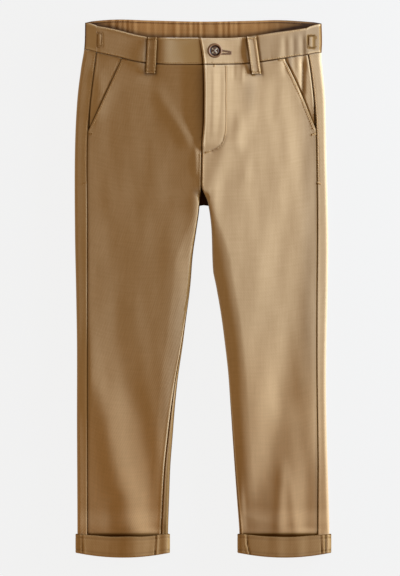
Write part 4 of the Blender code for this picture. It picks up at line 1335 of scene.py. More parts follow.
# %% Gathers of the elastic
GATHER_PITCH, GATHER_HEIGHT = 13.0, 0.462
FINE_PITCH, FINE_HEIGHT = 7.1, 0.2
GATHER_ENDS = (126.0, 104.0)  # distance from the centre, falling
GATHERED_LEAST = 0.3
GATHERED_MOST = ((-100.0, 20.0), (-16.0, 20.0), (26.0, 14.0))  # x and width of the places with most gathers


def gather(x):
    """Height of the gathers: uneven waves that stand on the floor and end at the sides."""
    phase, fine = FULL_TURN * x / GATHER_PITCH, FULL_TURN * x / FINE_PITCH
    uneven = 0.65 + 0.35 * np.sin(0.31 * phase + 0.8)
    wave = 0.5 - 0.5 * np.cos(phase + 0.9 * np.sin(0.23 * phase))
    second = 0.5 - 0.5 * np.cos(fine + 1.3 * np.sin(0.17 * fine + 1.0))
    strong = sum(bell(x - place, width) for place, width in GATHERED_MOST)
    height = (GATHER_HEIGHT * uneven * wave + FINE_HEIGHT * second) * mix(GATHERED_LEAST, 1.0, strong)
    return height * ramp(np.abs(x), *GATHER_ENDS)


print("highest gather:", round(float(gather(np.linspace(-126.0, 126.0, 800)).max()), 2), "mm")

# %% Skin of the back waistband
BACK_BAND_ROWS, BACK_BAND_DEPTH, BACK_BAND_STRIP = 24, 35.0, 6
GATHERS_ACROSS = 150  # columns of points in each half
BAND_END_TONE = {RIGHT: 0.22, LEFT: -0.36}
# The lining lies in the shade of the front band, and more so towards its ends.
LINING_SHADE, LINING_SHADE_UP, LINING_END_UP = 0.78, 7.0, -0.5
LINING_ENDS = {RIGHT: (0.2, (-62.0, -112.0)), LEFT: (0.6, (60.0, 116.0))}  # dark, and x over which it grows
LINING_ROW_DOWN, LINING_ROW_WIDTH, LINING_ROW_DARK = 2.6, 0.9, 0.7


def back_band_columns(side, down):
    """x and height from the side seam over the edge and along the floor to the centre back."""
    x, z, _, from_seam, floor_begins = round_outer_edge(side, down, BAND_SEAM_GAP, BACK_BAND_STRIP)
    z[:, :from_seam.shape[1]] += BAND_PROUD * (1.0 - from_seam / from_seam[:, -1:])
    floor_x = side * floor_begins * np.linspace(1.0, 0.0, GATHERS_ACROSS + 1)[1:]
    return side_by_side(x, floor_x), side_by_side(z, gather(floor_x))


def lining_tone(x, down, from_top):
    """Tone of the inside of the band: the shade of the front band, and a sewn row."""
    above_front = along(FRONT_BAND_TOP, x) - down
    shade = LINING_SHADE * ramp(above_front, LINING_SHADE_UP, LINING_END_UP)
    for dark, ends in LINING_ENDS.values():
        shade = shade + dark * ramp(x, *ends)
    return -shade - LINING_ROW_DARK * bell(from_top - LINING_ROW_DOWN, LINING_ROW_WIDTH)


def back_band_half(side, shares):
    down = np.full((len(shares), 1), 20.0)
    strip = len(STEPS_IN) + BACK_BAND_STRIP
    for _ in range(4):
        x, z = back_band_columns(side, down[:, :1])
        under = ease(np.arange(x.shape[1]) / (strip + ROLL_COUNT - 2))
        top = mix(along(FRONT_BAND_TOP, x), along(BACK_BAND_TOP, x), under)
        bottom = mix(along(FRONT_BAND_SEAM, x), along(BACK_BAND_SEAM, x), under)
        down = mix(top, bottom, shares)
    on_top = 1.0 - ease((np.arange(x.shape[1]) - strip) / 4.0)
    above, tone = edge_profile(down - top, ridge=0.3, drop=0.7, wear=0.6)
    below, tone_below = edge_profile(bottom - down, ridge=0.15, drop=0.8, wear=0.35)
    relief, tone_tack = tack_relief(side, x, down)
    z = z + (above + below + relief) * on_top
    tone = tone * mix(0.5, 1.0, on_top) + (tone_below + tone_tack + BAND_END_TONE[side]) * on_top
    return x, down, z, tone + lining_tone(x, down, down - top) * (1.0 - on_top)


def back_band_skin():
    shares = spread(np.array([BACK_BAND_DEPTH]), BACK_BAND_ROWS)[0][:, None] / BACK_BAND_DEPTH
    left, right = (back_band_half(side, shares) for side in (LEFT, RIGHT))
    return [side_by_side(a, b[:, -2::-1]) for a, b in zip(left, right)]


cloth("waistband_back", back_band_skin(), BAND_WALL, band_twill, inside=lining_twill)

# %% [markdown]
# ## Belt loops
# A belt loop is a strip with its edges folded in, a row of stitches along each, both ends turned
# under and tacked down, and a little room in the middle for the belt.

# %% Skins of the belt loops
LOOP_ROWS, LOOP_COLUMNS, LOOP_TONE = 60, 12, -0.16
LOOP_TACK, LOOP_BOW, LOOP_RISE = 4.0, 0.8, 0.25
LOOP_STEP_DOWN = (1.0, 6.0)  # below the band's seam, where a loop steps down on to the panel
LOOP_ROW_IN, LOOP_ROW_WIDTH, LOOP_ROW_DEPTH = 2.4, 0.5, 0.18
LOOP_BAR_IN, LOOP_BAR_WIDTH, LOOP_BAR_DEPTH = 2.6, 0.8, 0.35


def loop_ground(side, x, down):
    on_band = 1.0 - ramp(down - along(FRONT_BAND_SEAM, x), *LOOP_STEP_DOWN)
    lift = (fly_lift(x, down) if side == LEFT else 0.0) - loop_dip(side, x, down)
    return top_height(x, down) + BAND_PROUD * on_band + lift + SEAM_GAP + LOOP_WALL


def loop_bow(length, share):
    tacked = LOOP_TACK / length
    return LOOP_BOW * ease((share - tacked) / LOOP_RISE) * ease((1.0 - tacked - share) / LOOP_RISE)


def loop_skin(side):
    top_x, top_down, foot_x, foot_down = LOOP_PLACES[side]
    length = foot_down - top_down
    share = spread(np.array([length]), LOOP_ROWS)[0][:, None] / length
    across = spread(np.array([LOOP_WIDTH]), LOOP_COLUMNS)[0]
    down = mix(top_down, foot_down, share) + 0.0 * across
    x = mix(top_x, foot_x, share) + (across - LOOP_WIDTH / 2) * side
    from_side = np.minimum(across, LOOP_WIDTH - across)
    from_end = np.minimum(share, 1.0 - share) * length
    edge, tone = edge_profile(from_side, ridge=0.2, drop=0.9, wear=0.3)
    end, tone_end = edge_profile(from_end, ridge=0.15, drop=0.8, wear=0.2)
    row, tack = bell(from_side - LOOP_ROW_IN, LOOP_ROW_WIDTH), bell(from_end - LOOP_BAR_IN, LOOP_BAR_WIDTH)
    z = loop_ground(side, x, down) + loop_bow(length, share) + edge + end
    z = z - LOOP_ROW_DEPTH * row - LOOP_BAR_DEPTH * tack
    return x, down, z, tone + tone_end + LOOP_TONE - 0.2 * row - 0.7 * tack


cloth_pair("belt_loop", loop_skin, LOOP_WALL, outer_twill)

# %% [markdown]
# ## Turn-ups
# A turn-up is the end of the leg folded outwards, double. It is a closed band all round the leg, so
# it is built as rings: one outline of the leg, moved out by each point of the band's section. Both
# seams of the leg cross it as a groove beside a small ridge, because here their inside shows.

# %% Outline and section of a turn-up
RING_ROLL, RING_TOP, RING_FLOOR = 14, 70, 26
CUFF_FACE_ROWS, CUFF_FACE_IN = 16, (1.4, -1.6)
CUFF_LIP = 1.5
# The rolls over the top and the foot of the band: (out from the leg, further down).
CUFF_TOP_ROLL = (
    (SEAM_GAP, 0.9), (0.42, 0.4), (0.75, 0.08), (1.2, -0.05), (1.65, 0.05), (2.05, 0.32), (2.25, 0.75),
)
CUFF_FOOT_ROLL = (
    (2.22, -0.95), (1.95, -0.45), (1.45, -0.1), (0.7, 0.0), (-0.6, 0.0), (-1.2, -0.25), (-CUFF_LIP, -0.8),
)


def hem_ring(side):
    """x, height and outward normal of the leg's outline under its turn-up."""
    down = np.array(LEG_END)
    outer_quarter, inner_quarter = (along(HEIGHTS[side], down, column) * math.pi / 4 for column in (1, 3))
    turns = np.linspace(0.0, 1.0, RING_ROLL + 1)
    first = outer_point(side, down, mix(-outer_quarter, outer_quarter, turns))
    last = inner_point(side, down, mix(inner_quarter, -inner_quarter, turns))
    top_x = mix(first[0][-1], last[0][0], np.linspace(0.0, 1.0, RING_TOP + 1)[1:-1])
    floor_x = mix(last[0][-1], first[0][0], np.linspace(0.0, 1.0, RING_FLOOR + 1)[1:-1])
    x = np.concatenate([first[0], top_x, last[0], floor_x])
    z = np.concatenate([first[1], top_height(top_x, down), last[1], np.full(floor_x.shape, floor_of(down))])
    run, rise = np.roll(x, -1) - np.roll(x, 1), np.roll(z, -1) - np.roll(z, 1)
    size = np.hypot(run, rise) * side
    return x, z, rise / size, -run / size


def cuff_section():
    """Section of the band: out from the leg, share of its height, and further down."""
    rows = [(out, 0.0, further) for out, further in CUFF_TOP_ROLL]
    for share in np.linspace(0.0, 1.0, CUFF_FACE_ROWS):
        rows.append((SEAM_GAP + CUFF_WALL, share, mix(*CUFF_FACE_IN, share)))
    rows += [(out, 1.0, further) for out, further in CUFF_FOOT_ROLL]
    rows += [(-CUFF_LIP, 1.0, -CUFF_WALL), (SEAM_GAP, 1.0, -CUFF_WALL)]
    return np.array(rows)


print("a turn-up is", len(cuff_section()), "rings of", len(hem_ring(LEFT)[0]), "points")

# %% Relief of a turn-up
CUFF_LINE_IN, CUFF_LINE_WIDTH = 2.6, 0.7  # the pressed lines along the top and the foot
# (x at the top, x at the foot, which side of the groove its ridge is on, strength).
CUFF_SEAMS = {
    RIGHT: ((-145.0, -144.0, 1, 0.5), (-56.6, -57.6, 1, 1.0)),
    LEFT: ((52.4, 56.0, -1, 0.8), (141.6, 142.6, 1, 0.7), (147.0, 146.4, 1, 0.6)),
}
CUFF_TONE = {RIGHT: 0.0, LEFT: -0.13}
CUFF_GROOVE, CUFF_RIDGE_AT, CUFF_RIDGE = 0.65, 1.9, 1.1
CUFF_WAVE, CUFF_WAVE_PITCH = 0.05, 17.0


def cuff_relief(side, x, share, height, on_top):
    """Relief and tone of the band's face: pressed lines, seams and a little unevenness."""
    lines = sum(bell(in_from * height - CUFF_LINE_IN, CUFF_LINE_WIDTH) for in_from in (share, 1.0 - share))
    relief, tone = -0.22 * lines, CUFF_TONE[side] - 0.42 * lines
    for at_top, at_foot, ridge_side, strength in CUFF_SEAMS[side]:
        gap = (x - mix(at_top, at_foot, share ** 2)) * ridge_side
        groove = bell(gap, CUFF_GROOVE) * on_top
        ridge = bell(gap - CUFF_RIDGE_AT, CUFF_RIDGE) * on_top
        relief = relief + strength * (0.35 * ridge - 0.6 * groove)
        tone = tone + strength * (0.5 * ridge - 1.0 * groove)
    return relief + CUFF_WAVE * puckers(x + 3.0 * share, CUFF_WAVE_PITCH, 21 + side) * on_top, tone


print("seams across the turn-ups:", len(CUFF_SEAMS[RIGHT]), "and", len(CUFF_SEAMS[LEFT]))

# %% Turn-ups
CUFF_BOW_BOTTOM = LENGTH - CUFF_BOTTOM
CUFF_EDGE_WAVE, CUFF_EDGE_PITCH = 0.5, 55.0
CUFF_FACE_OUT = SEAM_GAP + 0.7  # from here outwards a ring is on the face of the band
CUFF_MOUTH_DARK, CUFF_MOUTH_AT, CUFF_MOUTH_WIDTH = 0.95, -0.1, 0.9
CUFF_INSIDE_DARK = CUFF_END_DARK = 0.6


def cuff_skin(side):
    x, z, normal_x, normal_z = hem_ring(side)
    out, share, further = (cuff_section()[:, column:column + 1] for column in range(3))
    middle, half = (x.min() + x.max()) / 2, (x.max() - x.min()) / 2
    sag = 1.0 - np.minimum(np.abs(x - middle) / half, 1.0) ** 2
    wave = CUFF_EDGE_WAVE * puckers(x, CUFF_EDGE_PITCH, 31 + side) * (normal_z > 0.5)
    top = CUFF_TOP + CUFF_BOW_TOP * sag + wave
    bottom = CUFF_BOTTOM + CUFF_BOW_BOTTOM * sag
    down = mix(top, bottom, share) + further
    face = (out > CUFF_FACE_OUT) * 1.0
    relief, tone = cuff_relief(side, x, share, bottom - top, ease(normal_z / 0.5))
    out = out + relief * face
    mouth = CUFF_MOUTH_DARK * bell(down - top - CUFF_MOUTH_AT, CUFF_MOUTH_WIDTH)
    hidden = CUFF_INSIDE_DARK * (out < SEAM_GAP) + CUFF_END_DARK * np.clip(normal_x, 0.0, 1.0)
    return x + out * normal_x, down, np.maximum(z + out * normal_z, 0.0), tone * face - mouth - hidden


def cuff(side, word):
    x, down, z, tone = cuff_skin(side)
    points = to_metres(x, down, z)
    piece = grid_piece(f"cuff_{word}_cloth", points, tone, flip=side == LEFT, closed=True)
    dress(piece, cuff_twill, f"cuff_{word}")
    sink_seams(piece, seam_twill)


for side, word in SIDES:
    cuff(side, word)

# %% [markdown]
# ## Button
# A four-hole button is cast resin, turned on a lathe: a rounded rim, a groove inside it, and a flat
# middle that carries the thread. It grows here the way it was turned, from a disc whose top face is
# extruded and resized ring by ring; the holes are drilled last. The groove keeps the dark of the
# resin while the rim and the middle are buffed paler.

# %% Resin of the button
RESIN_COLOURS = {"rim": "#7A5436", "groove": "#2A1408", "middle": "#5E402C"}
CLOUD_SCALE, CLOUD_DARK = 260.0, 0.62  # clouds of pigment about 4 mm wide


def scaled(colour, factor):
    return (*(min(factor * value, 1.0) for value in colour[:3]), 1.0)


def resin(name, colour):
    """Cast resin: a clear gloss over slow clouds of pigment."""
    made, tree, shader = new_material(f"cast_resin_{name}")
    place = add(tree, "ShaderNodeTexCoord", "Object")
    cloud = add(tree, "ShaderNodeTexNoise", "Fac", {"Vector": place, "Scale": CLOUD_SCALE, "Detail": 3.0})
    base = linear(colour)
    sockets = {"Factor": cloud, "A": base, "B": scaled(base, CLOUD_DARK)}
    shade = add(tree, "ShaderNodeMix", "Result", sockets, data_type="RGBA")
    plug(tree, shader, {"Base Color": shade, "Roughness": 0.55, "Specular IOR Level": 0.15})
    return made


print("resin of the button:", RESIN_COLOURS)

# %% Turned disc
BUTTON_FOOT, FOOT_HEIGHT = 6.8, 0.1
# (radius, height) of each ring, from the foot up over the rim and down into the middle.
BUTTON_RINGS = (
    (8.0, 0.35), (8.6, 1.0), (8.9, 1.8), (8.8, 2.5), (8.4, 3.0), (7.9, 3.25), (7.3, 3.25), (6.8, 3.1),
    (6.3, 2.75), (5.9, 2.3), (5.5, 1.85), (5.1, 1.7), (4.75, 1.85), (4.3, 2.05), (3.6, 2.0), (2.6, 1.85),
)
HOLE_AT, HOLE_RADIUS, DRILL_DEPTH = (2.4, 2.3), 1.05, 12.0


def select_top(thing):
    """Selects the one face that looks up and lies in the middle."""
    bpy.ops.object.mode_set(mode="OBJECT")
    faces = thing.data.polygons
    top = max(faces, key=lambda face: face.center.z + (face.normal.z > 0.99))
    for item in (thing.data.vertices, thing.data.edges, faces):
        item.foreach_set("select", [False] * len(item))
    top.select = True
    bpy.ops.object.mode_set(mode="EDIT")


def turned_disc():
    first_depth = FOOT_HEIGHT * MM
    bpy.ops.mesh.primitive_cylinder_add(
        vertices=64, radius=BUTTON_FOOT * MM, depth=first_depth, location=(0.0, 0.0, first_depth / 2)
    )
    disc = bpy.context.object
    bpy.ops.object.transform_apply(location=True)
    bpy.ops.object.mode_set(mode="EDIT")
    bpy.ops.mesh.select_mode(type="FACE")
    select_top(disc)
    radius, height = BUTTON_FOOT, FOOT_HEIGHT
    for next_radius, next_height in BUTTON_RINGS:
        rise = (0.0, 0.0, (next_height - height) * MM)
        bpy.ops.mesh.extrude_region_move(TRANSFORM_OT_translate={"value": rise})
        factor = next_radius / radius
        bpy.ops.transform.resize(value=(factor, factor, 1.0))
        radius, height = next_radius, next_height
    bpy.ops.object.mode_set(mode="OBJECT")
    return disc


def drill(disc):
    for along_x in (-1, 1):
        for along_y in (-1, 1):
            place = (along_x * HOLE_AT[0] * MM, along_y * HOLE_AT[1] * MM, 0.0)
            bpy.ops.mesh.primitive_cylinder_add(
                vertices=16, radius=HOLE_RADIUS * MM, depth=DRILL_DEPTH * MM, location=place
            )
            cutter = bpy.context.object
            cut = disc.modifiers.new("hole", "BOOLEAN")
            cut.object = cutter
            cut.solver = "EXACT"
            apply_modifiers(disc)
            bpy.data.objects.remove(cutter)


print("button:", 2 * max(radius for radius, _ in BUTTON_RINGS), "mm across")

# %% Button on the waistband
BUTTON_AT = (13.7, 37.8)
BUTTON_RADII = {"rim": 6.5, "groove": 4.6}  # each finish reaches inwards to this radius
BUTTON_LOW = 1.2  # below this height the resin is in the shade of the rim and looks dark


def button_tilt():
    x, down = BUTTON_AT
    ends = (np.array(x + reach) for reach in (-BUTTON_FOOT, BUTTON_FOOT))
    low, high = (float(front_band_height(LEFT, end, np.array(down))) for end in ends)
    return math.atan2(low - high, 2 * BUTTON_FOOT)


def on_band(piece):
    """Tilts a piece made at the origin to lie on the waistband, at the button's place."""
    x, down = (np.array(place) for place in BUTTON_AT)
    height = float(front_band_height(LEFT, x, down)) + SEAM_GAP
    make_active(piece)
    piece.rotation_euler = (0.0, button_tilt(), 0.0)
    piece.location = to_metres(x, down, np.array(height))
    bpy.ops.object.transform_apply(location=True, rotation=True)


def button():
    disc = turned_disc()
    disc.name = disc.data.name = "waist_button_turned"
    drill(disc)
    disc.data.materials.clear()
    for name, colour in RESIN_COLOURS.items():
        disc.data.materials.append(resin(name, colour))
    for face in disc.data.polygons:
        radius = face.center.xy.length / MM
        inner = (radius < BUTTON_RADII["rim"]) + (radius < BUTTON_RADII["groove"])
        in_hole = radius < BUTTON_RADII["groove"] and abs(face.normal.z) < 0.5
        face.material_index = 1 if in_hole or face.center.z < BUTTON_LOW * MM else inner
    make_active(disc)
    bpy.ops.object.shade_smooth_by_angle(angle=math.radians(40))
    on_band(disc)
    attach(disc, "root")
    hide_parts("waist_button")
    disc.visible_shadow = False  # the stage's light is so low that a button would shade the fly beside it
    tilt = math.degrees(button_tilt())
    print("button:", len(disc.data.polygons), "faces, tilted", round(tilt, 1), "degrees")


button()

# %% [markdown]
# ## Thread
# At the size of a garment, a row of stitches is a row of small dents with a raised grain of thread
# in each. One stitch is modelled, a short round-ended grain, and every row is that grain repeated
# along a course and laid on the cloth that is really under it, found by a ray from above. Bartacks
# are the same grain set side by side, across the bar. Threads match the cloth, because chinos are
# usually sewn tone on tone.

# %% One stitch and its thread
STITCH_PITCH, STITCH_LENGTH, STITCH_WIDTH, STITCH_HEIGHT = 3.0, 2.3, 0.62, 0.5
GRAIN_BLUNT = 0.6  # below 1, the ends of a stitch are rounder than a ball's
FIBRE_SCALE, FIBRE_PALE = 900.0, 1.25  # the thread is paler in places about 1 mm long


def grain():
    """Vertices and faces of one stitch, of length, width and height 1 and with its middle at 0."""
    lying = (0.0, math.pi / 2, 0.0)
    bpy.ops.mesh.primitive_uv_sphere_add(segments=6, ring_count=4, radius=0.5, rotation=lying)
    made = bpy.context.object
    bpy.ops.object.transform_apply(rotation=True)
    points = np.array([vertex.co[:] for vertex in made.data.vertices])
    faces = [tuple(face.vertices) for face in made.data.polygons]
    bpy.data.objects.remove(made)
    points[:, 0] = np.sign(points[:, 0]) * 0.5 * (np.abs(points[:, 0]) / 0.5) ** GRAIN_BLUNT
    return points, faces


def thread_finish(name, colour):
    """Mercerised cotton thread: a little smoother and brighter than the cloth it is sewn into."""
    made, tree, shader = new_material(name)
    place = add(tree, "ShaderNodeTexCoord", "Object")
    worn = add(tree, "ShaderNodeTexNoise", "Fac", {"Vector": place, "Scale": FIBRE_SCALE, "Detail": 1.0})
    base = linear(colour)
    sockets = {"Factor": worn, "A": base, "B": scaled(base, FIBRE_PALE)}
    shade = add(tree, "ShaderNodeMix", "Result", sockets, data_type="RGBA")
    plug(tree, shader, {"Base Color": shade, "Roughness": 0.8})
    return made


GRAIN = grain()
tan_thread = thread_finish("tan_topstitch_thread", "#A37B49")
brown_thread = thread_finish("brown_buttonhole_thread", "#6E4A2C")
pale_thread = thread_finish("pale_button_thread", "#8E7B68")
print("one stitch has", len(GRAIN[1]), "faces")

# %% Rows of stitches
BAR_PITCH = 0.62
SINK = 0.08  # how deep a stitch lies in the cloth
COURSE_STEP, LOOK_AHEAD = 0.5, 0.2
RAY_FROM = 90.0  # height from which the cloth is looked for


def row(course, pitch=STITCH_PITCH, length=STITCH_LENGTH):
    """Stitches along a course: (x, down, angle, length) of each."""
    points = smooth_course(course, COURSE_STEP)
    place = way_along(points)
    count = max(int(place[-1] / pitch), 1)
    at = (np.arange(count) + 0.5) * place[-1] / count
    here, behind, ahead = (
        [np.interp(at + step, place, points[:, axis]) for axis in (0, 1)]
        for step in (0.0, -LOOK_AHEAD, LOOK_AHEAD)
    )
    angle = np.arctan2(ahead[1] - behind[1], ahead[0] - behind[0])
    return np.stack([*here, angle, np.full(count, length)], axis=1)


def bar(start, end, width, pitch=BAR_PITCH):
    """A bartack: stitches side by side from one end to the other, each of them across the bar."""
    sewn = row((start, end), pitch, width)
    sewn[:, 2] += math.pi / 2
    return sewn


def lay_threads(name, owner, sewn, finish, width=STITCH_WIDTH):
    """One piece of all the stitches on a panel, each laid on the cloth under it."""
    pattern, pattern_faces = GRAIN
    points, faces = [], []
    for x, down, angle, length in np.concatenate(sewn):
        above = Vector(to_metres(np.array(x), np.array(down), np.array(RAY_FROM)))
        hit, place, normal, _ = owner.ray_cast(above, Vector((0.0, 0.0, -1.0)))
        if not hit:
            continue
        ahead = Vector((math.cos(angle), -math.sin(angle), 0.0))
        ahead = (ahead - normal * ahead.dot(normal)).normalized()
        turn = np.array([ahead, normal.cross(ahead), normal])
        size = np.array([length, width, STITCH_HEIGHT]) * MM
        first = len(points) * len(pattern)
        middle = np.array(place + normal * (STITCH_HEIGHT / 2 - SINK) * MM)
        points.append((pattern * size) @ turn + middle)
        faces += [tuple(first + corner for corner in face) for face in pattern_faces]
    mesh = bpy.data.meshes.new(name)
    mesh.from_pydata(np.concatenate(points).tolist(), [], faces)
    mesh.shade_smooth()
    mesh.materials.append(finish)
    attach(new_object(name, mesh), "root")
    print(f"{name}: {len(points)} stitches")


print("stitches every", STITCH_PITCH, "mm, and every", BAR_PITCH, "mm in a bartack")

# %% [markdown]
# Chinos are topstitched where they are pulled: along the fly in a J, beside the pocket mouths, down
# the top of the side seams, round the waistband, along the belt loops. Short bartacks close the
# ends of all of these, because a seam tears from its end.

# %% Rows of the garment
SIDE_ROW_TOP, SIDE_ROW_POINTS, BAND_ROW_POINTS = 42.0, 12, 16
BAND_ROW_FROM, BAND_ROW_TO = 4.0, 118.0
SEAM_ROW_IN, SEAM_ROW_MARKS, EDGE_ROW_MARKS = 1.9, (161.0, 175.0, 190.0, 200.0), (24.0, 38.0, 52.0)
TACK_PITCH, TACK_STITCH = 1.5, 1.4


def band_row(table, first, last, offset):
    x = np.linspace(first, last, BAND_ROW_POINTS)
    return np.stack([x, along(table, x) + offset], axis=1)


def beside_centre(side, marks):
    return row([(float(along(CENTRE_FRONT, mark)) + side * SEAM_ROW_IN, mark) for mark in marks])


def front_rows(side):
    """The pocket mouth and a bartack at both its ends, the centre seam, and the fly on the left."""
    foot_down, foot_x = POCKET_MOUTH[side][-1]
    foot_x = side * foot_x
    top_x = side * (along(POCKET_MOUTH[side], np.array(50.0)) - 1.5)
    top_down = float(along(FRONT_BAND_SEAM, np.array(top_x))) + 2.2
    rows = [
        row(mouth_row(side)),
        bar((foot_x - side * 0.5, foot_down + 1.5), (foot_x - side * 5.5, foot_down + 3.5), 2.4),
        bar((top_x, top_down), (top_x - side * 6.0, top_down + 0.6), 2.0),
        beside_centre(side, SEAM_ROW_MARKS),
    ]
    if side == LEFT:
        rows += [row(FLY_ROW), bar(FLY_ROW[-1], (3.2, 160.0), 2.6), bar((13.6, 57.0), (13.6, 54.6), 2.2)]
    return rows


def back_rows(side):
    end_x = side * (along(SIDE_SEAM[side], np.array(SIDE_ROW_END)) + 0.4)
    seam = side_row(side, np.linspace(SIDE_ROW_TOP, SIDE_ROW_END, SIDE_ROW_POINTS))
    return [row(seam), bar((end_x, SIDE_ROW_END - 1.5), (end_x + side * 4.6, SIDE_ROW_END), 1.6)]


def band_rows(side):
    """The four sides of the tack, both long edges, and the end of the left half."""
    rows = [row(tack_course(side)[i:i + 2], TACK_PITCH, TACK_STITCH) for i in range(4)]
    for table, offset in ((FRONT_BAND_SEAM, -1.6), (FRONT_BAND_TOP, 1.8)):
        rows.append(row(band_row(table, side * BAND_ROW_FROM, side * BAND_ROW_TO, offset)))
    if side == LEFT:
        rows.append(beside_centre(side, EDGE_ROW_MARKS))
    return rows


def loop_rows(side):
    """Both long edges of a belt loop, and a bartack at its top and foot."""
    top_x, top_down, foot_x, foot_down = LOOP_PLACES[side]
    rows = []
    for edge in (-1, 1):
        out = edge * (LOOP_WIDTH / 2 - LOOP_ROW_IN)
        rows.append(row(((top_x + out, top_down + 3.0), (foot_x + out, foot_down - 3.0))))
    for x, down in ((top_x, top_down + LOOP_BAR_IN), (foot_x, foot_down - LOOP_BAR_IN)):
        rows.append(bar((x - 4.6, down), (x + 4.6, down), 1.8))
    return rows


cloths = bpy.data.objects
SEWN_PANELS = (
    ("front", front_rows), ("back", back_rows), ("waistband", band_rows), ("belt_loop", loop_rows),
)
for side, word in SIDES:
    for panel, rows_of in SEWN_PANELS:
        under = f"{panel}_front_{word}" if panel == "waistband" else f"{panel}_{word}"
        lay_threads(f"topstitch_{panel}_{word}", cloths[f"{under}_cloth"], rows_of(side), tan_thread)
lining_row = band_row(BACK_BAND_TOP, -BAND_ROW_TO, BAND_ROW_TO, LINING_ROW_DOWN)
lay_threads("topstitch_lining", cloths["waistband_back_cloth"], [row(lining_row)], brown_thread)

# %% [markdown]
# The buttonhole is worked in a darker thread: a row of close stitches along both lips of the slit,
# which open towards the button that pulls on them, and a short bar at the far end. The button
# itself is sewn on with a paler thread, crossed over between its holes.

# %% Buttonhole
SLIT = ((20.5, 39.3), (33.2, 40.4))
LIP_OPEN, LIP_CLOSED, LIP_WIDTH, LIP_PITCH = 2.3, 1.1, 2.5, 0.55
EYE_AFTER, EYE_HALF, EYE_WIDTH = 0.4, 2.2, 1.5  # the bar at the far end of the slit


def buttonhole_rows():
    (x0, d0), (x1, d1) = SLIT
    rows = [
        bar((x0, d0 + way * LIP_OPEN), (x1, d1 + way * LIP_CLOSED), LIP_WIDTH, LIP_PITCH)
        for way in (-1, 1)
    ]
    end = x1 + EYE_AFTER
    return [*rows, bar((end, d1 - EYE_HALF), (end, d1 + EYE_HALF), EYE_WIDTH, LIP_PITCH)]


band_left = cloths["waistband_front_left_cloth"]
lay_threads("buttonhole_thread", band_left, buttonhole_rows(), brown_thread, width=0.5)

# %% Button thread
THREAD_RADIUS, THREAD_INSIDE, THREAD_UP = 0.26, 0.55, 1.75
THREAD_ARCH, THREAD_OVER = 0.3, 0.06  # the second bundle crosses over the first


def button_thread():
    """Two crossed bundles of thread between opposite holes, arched over the middle of the button."""
    reach = math.hypot(*HOLE_AT) - THREAD_INSIDE
    pieces = []
    for turn in (1, -1):
        angle = turn * math.atan2(HOLE_AT[1], HOLE_AT[0])
        for offset in (-THREAD_RADIUS, THREAD_RADIUS):
            bpy.ops.mesh.primitive_torus_add(
                major_radius=reach * MM, minor_radius=THREAD_RADIUS * MM, major_segments=28,
                minor_segments=8, rotation=(math.pi / 2, 0.0, angle),
            )
            ring = bpy.context.object
            bpy.ops.object.transform_apply(rotation=True)
            bpy.ops.object.mode_set(mode="EDIT")
            bpy.ops.transform.resize(value=(1.0, 1.0, THREAD_ARCH + THREAD_OVER * turn))
            shift = (-math.sin(angle) * offset * MM, math.cos(angle) * offset * MM, THREAD_UP * MM)
            bpy.ops.transform.translate(value=shift)
            bpy.ops.object.mode_set(mode="OBJECT")
            pieces.append(ring)
    make_active(pieces[0])
    for ring in pieces:
        ring.select_set(True)
    bpy.ops.object.join()
    made = bpy.context.object
    made.name = made.data.name = "button_thread"
    made.data.materials.append(pale_thread)
    made.data.shade_smooth()
    on_band(made)
    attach(made, "root")
    print("button thread:", len(made.data.polygons), "faces")


button_thread()

# %% [markdown]
# ## Floor, light and camera
# The garment lies on a pale table and is seen from straight above. One soft light stands low at its
# left leg's side, so that every fold has a bright flank and a dark one, and a weak even light from
# all round opens the shadows. A low light is what makes cloth read as cloth.

# %% Floor and camera
FRAME_HEIGHT = 0.6912  # of the floor, in the view
CAMERA_HEIGHT = 12.0
VIEW_CENTRE = (-3.72 * MM, 0.55 * MM)
SENSOR = 36.0
FLOOR_SIZE, FLOOR_BELOW = 60.0, 0.4 * MM


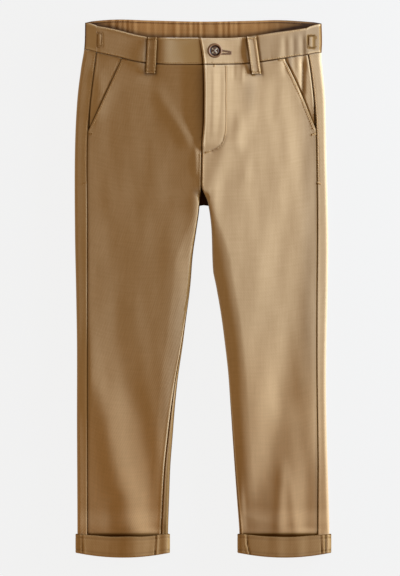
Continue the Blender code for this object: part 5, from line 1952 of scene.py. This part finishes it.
def floor_finish():
    """A matt white table. Its own faint glow keeps it evenly white under a low light."""
    made, tree, shader = new_material("matt_white_table")
    matt = {"Base Color": (0.03, 0.03, 0.03, 1.0), "Roughness": 1.0, "Specular IOR Level": 0.0}
    plug(tree, shader, {**matt, "Emission Color": (1.0, 1.0, 1.0, 1.0), "Emission Strength": 0.865})
    return made


bpy.ops.mesh.primitive_plane_add(size=FLOOR_SIZE, location=(0.0, 0.0, -FLOOR_BELOW))
floor = bpy.context.object
floor.name = "floor"
floor.data.materials.append(floor_finish())

camera_data = bpy.data.cameras.new("camera")
camera_data.sensor_width = SENSOR
camera_data.lens = SENSOR * CAMERA_HEIGHT / FRAME_HEIGHT
camera_data.clip_end = 100.0
camera = new_object("camera", camera_data)
camera.location = (*VIEW_CENTRE, CAMERA_HEIGHT)
bpy.context.scene.camera = camera
print("camera lens", round(camera_data.lens, 1), "mm at", CAMERA_HEIGHT, "m")

# %% Lights
BOX_AT, BOX_SIZE, BOX_POWER, BOX_COLOUR = (1.08, 0.36, 0.125), (0.9, 0.2), 80.0, (0.585, 0.785, 1.04)
ROOM_COLOUR, ROOM_STRENGTH = (1.0, 0.80, 0.52, 1.0), 0.467


def softbox(name):
    """A soft light low beside the table, turned to the middle of the garment."""
    data = bpy.data.lights.new(name, "AREA")
    data.shape = "RECTANGLE"
    data.size, data.size_y = BOX_SIZE
    data.energy = BOX_POWER
    data.color = BOX_COLOUR
    made = new_object(name, data)
    made.location = BOX_AT
    made.rotation_euler = (-Vector(BOX_AT)).to_track_quat("-Z", "Y").to_euler()
    made.visible_camera = False


softbox("low_softbox")
room = bpy.data.worlds.new("studio")
room.use_nodes = True
backdrop = room.node_tree.nodes["Background"]
plug(room.node_tree, backdrop, {"Color": ROOM_COLOUR, "Strength": ROOM_STRENGTH})
bpy.context.scene.world = room
bpy.context.scene.view_settings.view_transform = "Standard"
print("softbox", round(math.degrees(math.atan2(BOX_AT[2], math.hypot(*BOX_AT[:2]))), 1), "degrees up")
